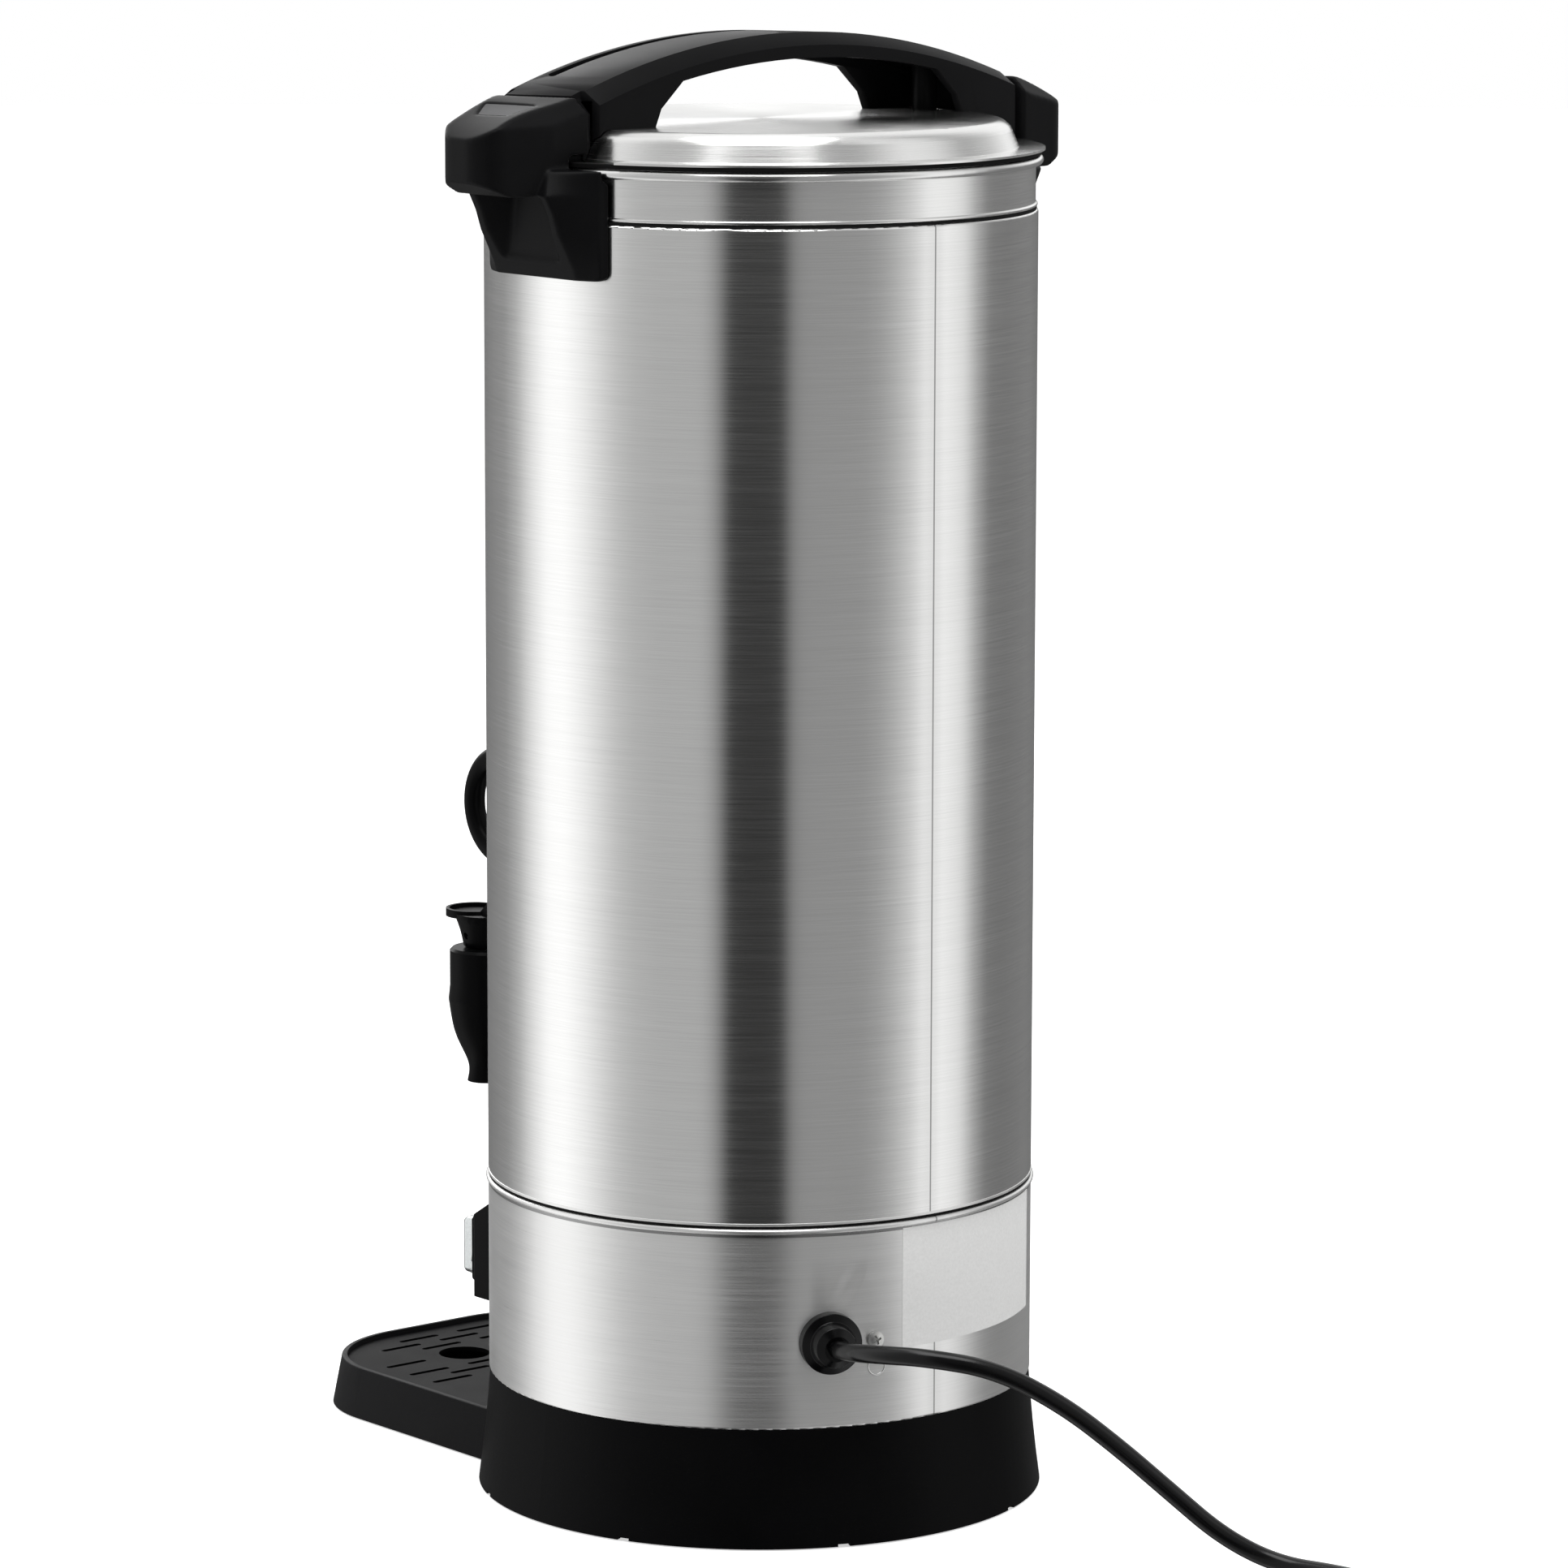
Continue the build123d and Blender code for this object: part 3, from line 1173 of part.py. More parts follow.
with BuildPart() as drip_grid:
    extrude(deck_plan, amount=deck_thickness)
    with BuildSketch(Plane.XY.offset(ledge)):
        # slots in staggered columns, clear of the wall, the skirt and the two finger holes
        turn_x = tray_half_width - tray_corner
        turn_y = -tray_front + tray_corner
        for column in range(-3, 4):
            for step in range(-3 - column % 2, 5, 2):
                slot_x = column * column_pitch
                slot_y = -hole_reach + step * slot_pitch / 2
                side = abs(slot_x) + slot_length / 2
                beside_wall = (max(0, side - turn_x)**2 + min(0, slot_y - turn_y)**2
                               > (tray_corner - slot_margin)**2)
                hole_x = max(0, abs(abs(slot_x) - column_pitch) - slot_length / 2)
                beside_hole = hole_x**2 + (slot_y + hole_reach)**2 < (finger_hole + slot_width)**2
                if not (beside_wall and slot_y < turn_y) and not beside_hole:
                    with Locations((slot_x, slot_y)):
                        SlotOverall(slot_length, slot_width)
        with Locations((-column_pitch, -hole_reach), (column_pitch, -hole_reach)):
            Circle(finger_hole)
    extrude(amount=deck_thickness, mode=Mode.SUBTRACT)

# ---- Cord ---------------------------------------------------------------------------------
cord_radius = cord_diameter / 2
cord_gap = 0.3
cord_exit = outlet * (body_radius + bushing_reach + cord_gap) + Vector(0, 0, bushing_height)
cord_route = [
    cord_exit, Vector(59.9, 127.7, 85.5), Vector(59.8, 145.1, 88), Vector(51.2, 163.2, 89),
    Vector(30.5, 181.6, 84.5), Vector(9.2, 196.6, 70), Vector(-10, 207.9, 52),
    Vector(-28.1, 217.5, 33.5), Vector(-46.2, 228.5, 14.5), Vector(-61.2, 244.8, 3.8),
    Vector(-70.7, 269.6, 3.8), Vector(-73.6, 299.1, 3.8), Vector(-67.4, 327.7, 3.8),
]
tail_route = [
    Vector(-36.3, 367.2, 8.6), Vector(-17.5, 374.1, 8.1), Vector(3.5, 372.5, 7.9),
    Vector(20, 361.5, 9.3), Vector(33.5, 350, 9.3),
]


def cord_radii(route):
    """Bend radius at each corner: as large as its two runs allow."""
    radii = []
    for before, corner, after in zip(route, route[1:], route[2:]):
        turn = (corner - before).get_angle(after - corner)
        run = min((corner - before).length, (after - corner).length)
        radii.append(0.45 * run / tan(radians(turn / 2)))
    return radii


def cord_tube(route):
    """Round tube along straight runs and tangent arcs."""
    with BuildPart() as tube:
        with BuildLine() as path:
            FilletPolyline(*route, radius=cord_radii(route))
        with BuildSketch(Plane(origin=path.wire() @ 0, z_dir=path.wire() % 0)):
            Circle(cord_radius)
        sweep(path=path.wire())
    run = path.wire().length
    print("cord run", round(run, 1), "volume ratio", round(tube.part.volume / (pi * cord_radius**2 * run), 4))
    print("bend radii", [round(r) for r in cord_radii(route)])
    return tube.part


cord_run = cord_tube(cord_route)
with BuildPart() as cord:
    add(cord_run)

tail_run = cord_tube(tail_route)
with BuildPart() as cord_tail:
    add(tail_run)

coil_centre = (-20.0, 322.4)
with BuildPart() as cord_coil:
    with BuildSketch():
        with Locations(coil_centre):
            Circle(coil_mean + cord_radius)
            Circle(coil_mean - cord_radius, mode=Mode.SUBTRACT)
    extrude(amount=coil_turns * cord_diameter + 0.2)
    fillet(cord_coil.edges(), 2.5)

plug_heading = (tail_route[-1] - tail_route[-2]).normalized()
plug_plane = Plane(origin=tail_route[-1] + plug_heading * cord_gap, x_dir=(0, 0, 1),
                   z_dir=plug_heading)
plug_length = 36.0
with BuildPart(plug_plane) as plug:
    with BuildSketch(plug_plane):
        Circle(cord_radius + 1.5)
    with BuildSketch(plug_plane.offset(10)):
        RectangleRounded(11, 13, 3)
    loft()
    with BuildSketch(plug_plane.offset(10)):
        RectangleRounded(11, 13, 3)
    with BuildSketch(plug_plane.offset(20)):
        RectangleRounded(18.2, 25, 5)
    loft()
    with BuildSketch(plug_plane.offset(20)):
        RectangleRounded(18.2, 25, 5)
    extrude(amount=plug_length - 20)

with BuildPart() as plug_blades:
    with BuildSketch(plug_plane.offset(plug_length)):
        with Locations((-2.5, -6.35), (-2.5, 6.35)):
            Rectangle(6.3, 1.5)
        with Locations((5.2, 0)):
            Circle(2.4)
    extrude(amount=17.5)
    fillet(plug_blades.edges().filter_by(GeomType.CIRCLE).sort_by(Axis.X)[-1:], 0.6)

# ---- Files --------------------------------------------------------------------------------
nodes = {
    "inner_tank": inner_tank, "outer_shell": outer_shell, "base_band": base_band,
    "base_skirt": base_skirt, "bottom_cover": bottom_cover, "rubber_feet": rubber_feet,
    "bottom_screws": bottom_screws, "boil_element": boil_element,
    "warming_element": warming_element, "thermostat": thermostat, "thermal_fuse": thermal_fuse,
    "heat_shield": heat_shield, "shield_posts": shield_posts, "terminal_block": terminal_block,
    "wiring": wiring, "cord_bushing": cord_bushing, "ground_screw": ground_screw,
    "lid_shell": lid_shell, "lid_gasket": lid_gasket, "lid_bar": lid_bar, "bar_liner": bar_liner,
    "bar_screws": bar_screws, "right_handle": right_handle, "left_handle": left_handle,
    "right_insert": right_insert, "left_insert": left_insert, "handle_screws": handle_screws,
    "tap_body": tap_body, "tap_bonnet": tap_bonnet, "tap_stem": tap_stem, "seat_cup": seat_cup,
    "lever_pin": lever_pin, "tap_lever": tap_lever, "tap_washers": tap_washers,
    "tap_nut": tap_nut, "gauge_glass": gauge_glass, "gauge_guard": gauge_guard,
    "gauge_cap": gauge_cap, "pump_stem": pump_stem, "coffee_basket": coffee_basket,
    "basket_cover": basket_cover, "control_panel": control_panel, "rocker_frame": rocker_frame,
    "rocker_switch": rocker_switch, "switch_cover": switch_cover, "pilot_lamps": pilot_lamps,
    "drip_tray": drip_tray, "drip_grid": drip_grid, "cord": cord, "cord_tail": cord_tail,
    "cord_coil": cord_coil, "plug": plug, "plug_blades": plug_blades,
}
for name, node in nodes.items():
    node.part.label = name
    export_step(node.part, f"parts/{name}.step")
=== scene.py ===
from math import cos, radians, sin

import bpy
from mathutils import Euler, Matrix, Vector


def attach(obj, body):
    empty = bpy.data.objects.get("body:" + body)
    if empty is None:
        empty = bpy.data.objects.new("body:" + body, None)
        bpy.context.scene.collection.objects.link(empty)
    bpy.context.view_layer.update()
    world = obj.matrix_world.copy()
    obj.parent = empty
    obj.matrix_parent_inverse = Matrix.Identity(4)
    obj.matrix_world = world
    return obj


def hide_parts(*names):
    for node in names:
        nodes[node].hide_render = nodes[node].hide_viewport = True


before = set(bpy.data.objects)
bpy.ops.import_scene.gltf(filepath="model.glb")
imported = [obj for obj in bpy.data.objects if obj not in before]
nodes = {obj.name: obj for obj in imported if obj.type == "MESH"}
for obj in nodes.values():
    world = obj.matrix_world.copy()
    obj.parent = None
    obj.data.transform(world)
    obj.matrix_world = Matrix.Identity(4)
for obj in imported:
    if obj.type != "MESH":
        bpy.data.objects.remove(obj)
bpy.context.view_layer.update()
print("frame loaded", len(nodes), "nodes")


# camera
camera = {
    "place": (1.73548, 2.10529, 0.73426),
    "turn": (80.7176, -0.1133, 140.3160),  # degrees
    "lens": 156.43,
}
cameraData = bpy.data.cameras.new("camera")
cameraData.lens = camera["lens"]
cameraData.sensor_width = 36
cameraData.clip_end = 50
cameraPiece = bpy.data.objects.new("camera", cameraData)
cameraPiece.location = camera["place"]
cameraPiece.rotation_euler = Euler([radians(a) for a in camera["turn"]])
bpy.context.scene.collection.objects.link(cameraPiece)
bpy.context.scene.camera = cameraPiece
bpy.context.scene.view_settings.view_transform = "Standard"
print("camera placed")


# small helpers for materials
def newMaterial(name, roughness=0.5, metallic=0.0, colour=(0.5, 0.5, 0.5)):
    material = bpy.data.materials.new(name)
    material.use_nodes = True
    shader = material.node_tree.nodes["Principled BSDF"]
    shader.inputs["Base Color"].default_value = (*colour, 1)
    shader.inputs["Roughness"].default_value = roughness
    shader.inputs["Metallic"].default_value = metallic
    material.diffuse_color = (*colour, 1)
    return material, material.node_tree, shader


def addNode(tree, kind, settings=None, **inputs):
    node = tree.nodes.new(kind)
    for key, value in (settings or {}).items():
        setattr(node, key, value)
    for key, value in inputs.items():
        place = int(key[1:]) if key[0] == "i" and key[1:].isdigit() else key.replace("_", " ")
        socket = node.inputs[place]
        if isinstance(value, bpy.types.NodeSocket):
            tree.links.new(value, socket)
        else:
            socket.default_value = value
    return node


def ramp(tree, factor, stops):
    node = addNode(tree, "ShaderNodeValToRGB", Fac=factor)
    elements = node.color_ramp.elements
    elements.remove(elements[1])
    for step, (position, value) in enumerate(sorted(stops)):
        element = elements[0] if step == 0 else elements.new(position)
        element.position = position
        element.color = (value, value, value, 1) if isinstance(value, (int, float)) else (*value, 1)
    return node.outputs["Color"]


def math(tree, operation, a, b=0.0):
    return addNode(tree, "ShaderNodeMath", {"operation": operation}, i0=a, i1=b).outputs[0]


def objectPoint(tree, scale=(1, 1, 1), place=(0, 0, 0)):
    coordinate = tree.nodes.new("ShaderNodeTexCoord")
    return addNode(tree, "ShaderNodeMapping", Vector=coordinate.outputs["Object"],
                   Scale=scale, Location=place).outputs["Vector"]


def noise(tree, point, scale, detail=3.0, roughness=0.5):
    return addNode(tree, "ShaderNodeTexNoise", Vector=point, Scale=scale, Detail=detail,
                   Roughness=roughness).outputs["Fac"]


def bump(tree, shader, height, strength, distance):
    node = addNode(tree, "ShaderNodeBump", Height=height, Strength=strength, Distance=distance)
    tree.links.new(node.outputs["Normal"], shader.inputs["Normal"])
    return node


# supply cord
cordSizes = {
    "diameter": 0.0073,
    "length": 0.90,
    "route": [  # millimetres
        (52.73, 112.56, 82.6), (59.9, 127.7, 85.5), (59.8, 145.1, 88), (51.2, 163.2, 89),
        (30.5, 181.6, 84.5), (9.2, 196.6, 70), (-10, 207.9, 52), (-28.1, 217.5, 33.5),
        (-46.2, 228.5, 14.5), (-61.2, 244.8, 3.8), (-70.7, 269.6, 3.8), (-73.6, 299.1, 3.8),
        (-67.4, 327.7, 3.8),
    ],
    "coilCentre": (-20.0, 322.4),
    "coilRadius": 41.0,
    "coilStart": 140,  # degrees
    "coilHeights": [3.8] * 9 + [5.6, 9.2] + [11.2] * 12,
    "tail": [(-54.9, 350.5, 11.2), (-36.3, 367.2, 9.4), (-17.5, 374.1, 8.1), (3.5, 372.5, 7.9),
             (20, 361.5, 9.3), (33.5, 350, 9.3)],
}


def makeCord():
    points = list(cordSizes["route"])
    for step, height in enumerate(cordSizes["coilHeights"]):
        angle = radians(cordSizes["coilStart"] - 30 * step)
        points.append((cordSizes["coilCentre"][0] + cordSizes["coilRadius"] * cos(angle),
                       cordSizes["coilCentre"][1] + cordSizes["coilRadius"] * sin(angle), height))
    points += cordSizes["tail"]
    curve = bpy.data.curves.new("supplyCord", "CURVE")
    curve.dimensions = "3D"
    curve.bevel_depth = cordSizes["diameter"] / 2
    curve.bevel_resolution = 6
    curve.resolution_u = 10
    curve.use_fill_caps = True
    spline = curve.splines.new("NURBS")
    spline.points.add(len(points) - 1)
    for point, place in zip(spline.points, points):
        point.co = (*[value / 1000 for value in place], 1)
    spline.order_u = 3
    spline.use_endpoint_u = True
    piece = bpy.data.objects.new("supplyCord", curve)
    bpy.context.scene.collection.objects.link(piece)
    return piece


supplyCord = makeCord()
print("cord laid")


# brushed stainless, its scratches running round the vessel
steelLooks = {
    "colour": (0.86, 0.86, 0.85),
    "roughness": 0.20,
    "stretch": 0.82,      # how far reflections are drawn out across the scratches
    "lines": 2600,        # scratches per metre of height
    "seamWidth": 0.0007,
}


def dentDepth(tree, dent):
    middle = Vector((dent["radius"] * cos(radians(dent["angle"])),
                     dent["radius"] * sin(radians(dent["angle"])), dent["height"]))
    across = Vector((-sin(radians(dent["angle"])), cos(radians(dent["angle"])), 0))
    lean = radians(dent["lean"])
    along = across * sin(lean) + Vector((0, 0, cos(lean)))
    beside = across * cos(lean) - Vector((0, 0, sin(lean)))
    place = addNode(tree, "ShaderNodeVectorMath", {"operation": "SUBTRACT"},
                    i0=objectPoint(tree), i1=tuple(middle)).outputs[0]
    shares = []
    for direction, reach in ((along, dent["long"]), (beside, dent["wide"])):
        share = addNode(tree, "ShaderNodeVectorMath", {"operation": "DOT_PRODUCT"}, i0=place,
                        i1=tuple(direction / reach)).outputs["Value"]
        shares.append(math(tree, "MULTIPLY", share, share))
    away = math(tree, "SQRT", math(tree, "ADD", *shares))
    return addNode(tree, "ShaderNodeMapRange", {"interpolation_type": "SMOOTHSTEP"}, Value=away,
                   From_Min=0.0, From_Max=1.0, To_Min=0.0, To_Max=1.0).outputs["Result"]


def brushedSteel(name, seam=None, roughness=None, dent=None, metallic=1.0):
    material, tree, shader = newMaterial(name, roughness or steelLooks["roughness"], metallic,
                                         steelLooks["colour"])
    shader.inputs["Anisotropic"].default_value = steelLooks["stretch"]
    fine = noise(tree, objectPoint(tree, (22, 22, steelLooks["lines"])), 1.0, 4, 0.65)
    broad = noise(tree, objectPoint(tree, (3, 3, 140)), 1.0, 3, 0.6)
    cloud = noise(tree, objectPoint(tree, (14, 14, 9)), 1.0, 3, 0.55)
    streaks = math(tree, "ADD", math(tree, "MULTIPLY", fine, 0.72),
                   math(tree, "ADD", math(tree, "MULTIPLY", broad, 0.10),
                        math(tree, "MULTIPLY", cloud, 0.18)))
    tone = ramp(tree, streaks, [(0.25, (0.78, 0.78, 0.775)), (0.5, steelLooks["colour"]),
                                (0.75, (0.93, 0.93, 0.925))])
    grain = addNode(tree, "ShaderNodeMapRange", Value=streaks, From_Min=0.3, From_Max=0.7,
                    To_Min=(roughness or steelLooks["roughness"]) * 0.8,
                    To_Max=(roughness or steelLooks["roughness"]) * 1.25).outputs["Result"]
    tree.links.new(grain, shader.inputs["Roughness"])
    geometry = tree.nodes.new("ShaderNodeNewGeometry")
    around = addNode(tree, "ShaderNodeVectorMath", {"operation": "CROSS_PRODUCT"},
                     i0=geometry.outputs["Normal"], i1=(0.0, 0.0, 1.0)).outputs[0]
    across = addNode(tree, "ShaderNodeVectorMath", {"operation": "CROSS_PRODUCT"},
                     i0=around, i1=geometry.outputs["Normal"]).outputs[0]
    outward = objectPoint(tree, (0.3, 0.3, 0))
    drawn = addNode(tree, "ShaderNodeVectorMath", {"operation": "ADD"}, i0=across,
                    i1=outward).outputs[0]
    tree.links.new(addNode(tree, "ShaderNodeVectorMath", {"operation": "NORMALIZE"},
                           i0=drawn).outputs[0], shader.inputs["Tangent"])
    height = fine
    if seam is not None:  # butt weld down the back
        point = addNode(tree, "ShaderNodeSeparateXYZ",
                        Vector=objectPoint(tree, place=(-seam, 0, 0)))
        offset = math(tree, "ABSOLUTE", point.outputs["X"])
        behind = math(tree, "GREATER_THAN", point.outputs["Y"], 0.05)
        line = math(tree, "MULTIPLY", math(tree, "LESS_THAN", offset,
                                           steelLooks["seamWidth"] / 2), behind)
        # painted shade: soft darkening that fades out over 6 mm either side of the weld, behind the
        # vessel; the thin line itself is the weld's own dark joint
        seamShade = addNode(tree, "ShaderNodeMapRange", {"interpolation_type": "SMOOTHSTEP"},
                       Value=offset, From_Min=0.0005, From_Max=0.006, To_Min=0.12,
                       To_Max=0.0).outputs["Result"]
        shade = math(tree, "MAXIMUM", math(tree, "MULTIPLY", line, 0.72),
                     math(tree, "MULTIPLY", seamShade, behind))
        tone = addNode(tree, "ShaderNodeMix", {"data_type": "RGBA"}, i0=shade, i6=tone,
                       i7=(0.10, 0.10, 0.10, 1)).outputs[2]
        height = math(tree, "SUBTRACT", fine, math(tree, "MULTIPLY", line, 3))
    tree.links.new(tone, shader.inputs["Base Color"])
    grooves = bump(tree, shader, height, 0.10, 0.00004)
    if dent:  # where the sheet gives above the bushing
        hollow = addNode(tree, "ShaderNodeBump", Height=dentDepth(tree, dent), Strength=1.0,
                         Distance=dent["depth"])
        tree.links.new(hollow.outputs["Normal"], grooves.inputs["Normal"])
    return material


def polishedSteel(name, colour=(0.82, 0.82, 0.81), roughness=0.12):
    material, tree, shader = newMaterial(name, roughness, 1.0, colour)
    smear = noise(tree, objectPoint(tree, (60, 60, 60)), 1.0, 4)
    tree.links.new(addNode(tree, "ShaderNodeMapRange", Value=smear, To_Min=roughness * 0.6,
                           To_Max=roughness * 1.6).outputs["Result"], shader.inputs["Roughness"])
    return material


def zincPlate(name):
    material, tree, shader = newMaterial(name, 0.35, 1.0, (0.62, 0.62, 0.60))
    spangle = addNode(tree, "ShaderNodeTexVoronoi", Vector=objectPoint(tree, (160, 160, 160)),
                      Scale=1.0).outputs["Color"]
    tone = ramp(tree, spangle, [(0.0, (0.52, 0.53, 0.53)), (1.0, (0.70, 0.70, 0.68))])
    tree.links.new(tone, shader.inputs["Base Color"])
    return material


def mouldedPlastic(name, colour=(0.014, 0.014, 0.015), roughness=0.42, grain=0.35, gloss=0.07):
    material, tree, shader = newMaterial(name, roughness, 0.0, colour)
    shader.inputs["Specular IOR Level"].default_value = gloss
    pebble = addNode(tree, "ShaderNodeTexVoronoi", Vector=objectPoint(tree), Scale=2400.0)
    cloud = noise(tree, objectPoint(tree, (30, 30, 30)), 1.0, 4)
    tone = ramp(tree, cloud, [(0.3, colour), (0.7, tuple(c * 1.5 for c in colour))])
    tree.links.new(tone, shader.inputs["Base Color"])
    tree.links.new(addNode(tree, "ShaderNodeMapRange", Value=cloud, To_Min=roughness * 0.85,
                           To_Max=roughness * 1.2).outputs["Result"], shader.inputs["Roughness"])
    bump(tree, shader, pebble.outputs["Distance"], grain, 0.00006)
    return material


def cordJacket(name):
    material, tree, shader = newMaterial(name, 0.22, 0.0, (0.0035, 0.0035, 0.0038))
    shader.inputs["Specular IOR Level"].default_value = 0.35
    ripple = noise(tree, objectPoint(tree, (90, 90, 90)), 1.0, 3)
    fine = noise(tree, objectPoint(tree, (1400, 1400, 1400)), 1.0, 2)
    bump(tree, shader, math(tree, "ADD", ripple, math(tree, "MULTIPLY", fine, 0.15)), 0.25, 0.0002)
    tree.links.new(addNode(tree, "ShaderNodeMapRange", Value=ripple, To_Min=0.16,
                           To_Max=0.28).outputs["Result"], shader.inputs["Roughness"])
    return material


def clearPlastic(name, colour, roughness=0.05):
    material, tree, shader = newMaterial(name, roughness, 0.0, colour)
    shader.inputs["Transmission Weight"].default_value = 0.92
    shader.inputs["IOR"].default_value = 1.49
    smear = noise(tree, objectPoint(tree, (50, 50, 50)), 1.0, 3)
    tree.links.new(addNode(tree, "ShaderNodeMapRange", Value=smear, To_Min=roughness * 0.5,
                           To_Max=roughness * 2).outputs["Result"], shader.inputs["Roughness"])
    return material


def paper(name):
    material, tree, shader = newMaterial(name, 0.55, 0.0, (0.80, 0.80, 0.79))
    fibre = noise(tree, objectPoint(tree, (900, 900, 900)), 1.0, 5)
    tone = ramp(tree, fibre, [(0.3, (0.87, 0.87, 0.86)), (0.7, (0.95, 0.95, 0.94))])
    tree.links.new(tone, shader.inputs["Base Color"])
    bump(tree, shader, fibre, 0.1, 0.00003)
    return material


bandDent = {"angle": 68.5, "height": 0.104, "radius": 0.111, "lean": 32, "long": 0.016,
            "wide": 0.0055, "depth": 0.0005}
looks = {
    "jacketSteel": brushedSteel("jacketSteel", seam=0.0037),
    "bandSteel": brushedSteel("bandSteel", seam=0.0012, roughness=0.33, dent=bandDent,
                              metallic=0.94),
    "tankSteel": brushedSteel("tankSteel", roughness=0.22),
    "pressedSteel": brushedSteel("pressedSteel", roughness=0.24),
    "polished": polishedSteel("polished"),
    # painted shade: dark steel for the thin ring laid over the band's crease, standing in for the
    # shade in it
    "creaseShadeSteel": polishedSteel("creaseShadeSteel", (0.34, 0.34, 0.34), 0.25),
    "hemSteel": polishedSteel("hemSteel", (0.94, 0.94, 0.93), 0.38),
    "zinc": zincPlate("zinc"),
    "handlePlastic": mouldedPlastic("handlePlastic", (0.0045, 0.0045, 0.0049), 0.38, 0.25),
    "basePlastic": mouldedPlastic("basePlastic", (0.0020, 0.0020, 0.0022), 0.42, 0.35, 0.05),
    "trayPlastic": mouldedPlastic("trayPlastic", (0.0065, 0.0065, 0.007), 0.45, 0.40),
    "gridPlastic": mouldedPlastic("gridPlastic", (0.0030, 0.0030, 0.0033), 0.45, 0.40, 0.03),
    "tapPlastic": mouldedPlastic("tapPlastic", (0.0020, 0.0020, 0.0022), 0.30, 0.15, 0.05),
    "bushingPlastic": mouldedPlastic("bushingPlastic", (0.0015, 0.0015, 0.0017), 0.14, 0.05, 0.22),
    "insertGrey": mouldedPlastic("insertGrey", (0.06, 0.06, 0.062), 0.5, 0.30, 0.15),
    "labelPaper": paper("labelPaper"),
    # dark rubber for the lid gasket; also the colour of the rings that paint the shade in the gaps
    # at the band and the collar
    "gasketRubberAndGapShade": mouldedPlastic("gasketRubberAndGapShade", (0.008, 0.008, 0.008), 0.7, 0.3),
    "feetRubber": mouldedPlastic("feetRubber", (0.02, 0.02, 0.02), 0.75, 0.6),
    "silicone": mouldedPlastic("silicone", (0.55, 0.53, 0.50), 0.5, 0.2),
    "ceramic": mouldedPlastic("ceramic", (0.70, 0.68, 0.62), 0.5, 0.3),
    "cordJacket": cordJacket("cordJacket"),
    "brass": polishedSteel("brass", (0.78, 0.62, 0.30), 0.22),
    "aluminium": polishedSteel("aluminium", (0.68, 0.68, 0.68), 0.35),
    "clear": clearPlastic("clear", (0.93, 0.95, 0.95)),
    "lens": clearPlastic("lens", (0.80, 0.16, 0.05), 0.12),
}
finishes = {
    "jacketSteel": ["outer_shell"],
    "bandSteel": ["base_band"],
    "tankSteel": ["inner_tank"],
    "pressedSteel": ["lid_shell", "coffee_basket", "basket_cover", "gauge_guard"],
    "polished": ["boil_element", "warming_element", "tap_stem", "lever_pin", "pump_stem"],
    "zinc": ["bottom_cover", "bottom_screws", "shield_posts", "bar_screws", "handle_screws",
             "ground_screw"],
    "handlePlastic": ["right_handle", "left_handle", "lid_bar", "bar_liner"],
    "basePlastic": ["base_skirt", "control_panel", "rocker_frame", "terminal_block", "gauge_cap"],
    "trayPlastic": ["drip_tray"],
    "gridPlastic": ["drip_grid"],
    "tapPlastic": ["tap_body", "tap_bonnet", "tap_lever", "tap_nut", "rocker_switch", "plug"],
    "bushingPlastic": ["cord_bushing"],
    "gasketRubberAndGapShade": ["lid_gasket"],
    "insertGrey": ["right_insert", "left_insert"],
    "feetRubber": ["rubber_feet"],
    "silicone": ["seat_cup", "tap_washers"],
    "ceramic": ["thermostat", "thermal_fuse"],
    "cordJacket": ["wiring"],
    "brass": ["plug_blades"],
    "aluminium": ["heat_shield"],
    "clear": ["gauge_glass", "switch_cover"],
    "lens": ["pilot_lamps"],
}
for look, names in finishes.items():
    for name in names:
        for place in nodes[name].material_slots:
            place.material = looks[look]
        if not nodes[name].material_slots:
            nodes[name].data.materials.append(looks[look])
supplyCord.data.materials.append(looks["cordJacket"])
print("finishes set")


# moulded parts with their edges rounded off
rounded = {
    "lid_bar": {"radius": 0.0012, "body": "lid"},
    "control_panel": {"radius": 0.0012, "body": "urn"},
    "rocker_switch": {"radius": 0.0005, "body": "rocker"},
    "drip_tray": {"radius": 0.0006, "body": "tray"},
    "tap_lever": {"radius": 0.0007, "body": "lever"},
    "plug": {"radius": 0.0012, "body": "urn"},
}


def pickPiece(piece):
    bpy.ops.object.select_all(action="DESELECT")
    piece.select_set(True)
    bpy.context.view_layer.objects.active = piece


softened = {  # cast handles: the grid they are recast on, and how often it is smoothed
    "right_handle": {"grid": 0.0008, "passes": 8, "body": "urn"},
    "left_handle": {"grid": 0.0008, "passes": 8, "body": "urn"},
}
rolledSheets = ("outer_shell", "base_band")
merging = {
    "threshold": 0.00001,  # metres
    "flat": 0.8,           # degrees
    "edge": 28,
    "smooth": 32,
    "upright": 0.995,      # how nearly a face must look along the radius to be part of the wall
}


def mergedCopy(name, ending):
    source = nodes[name]
    piece = source.copy()
    piece.data = source.data.copy()
    piece.name = name + ending
    bpy.context.scene.collection.objects.link(piece)
    piece.parent = None
    piece.matrix_world = source.matrix_world
    pickPiece(piece)
    bpy.ops.object.mode_set(mode="EDIT")
    bpy.ops.mesh.select_all(action="SELECT")
    bpy.ops.mesh.remove_doubles(threshold=merging["threshold"])
    bpy.ops.object.mode_set(mode="OBJECT")
    return piece


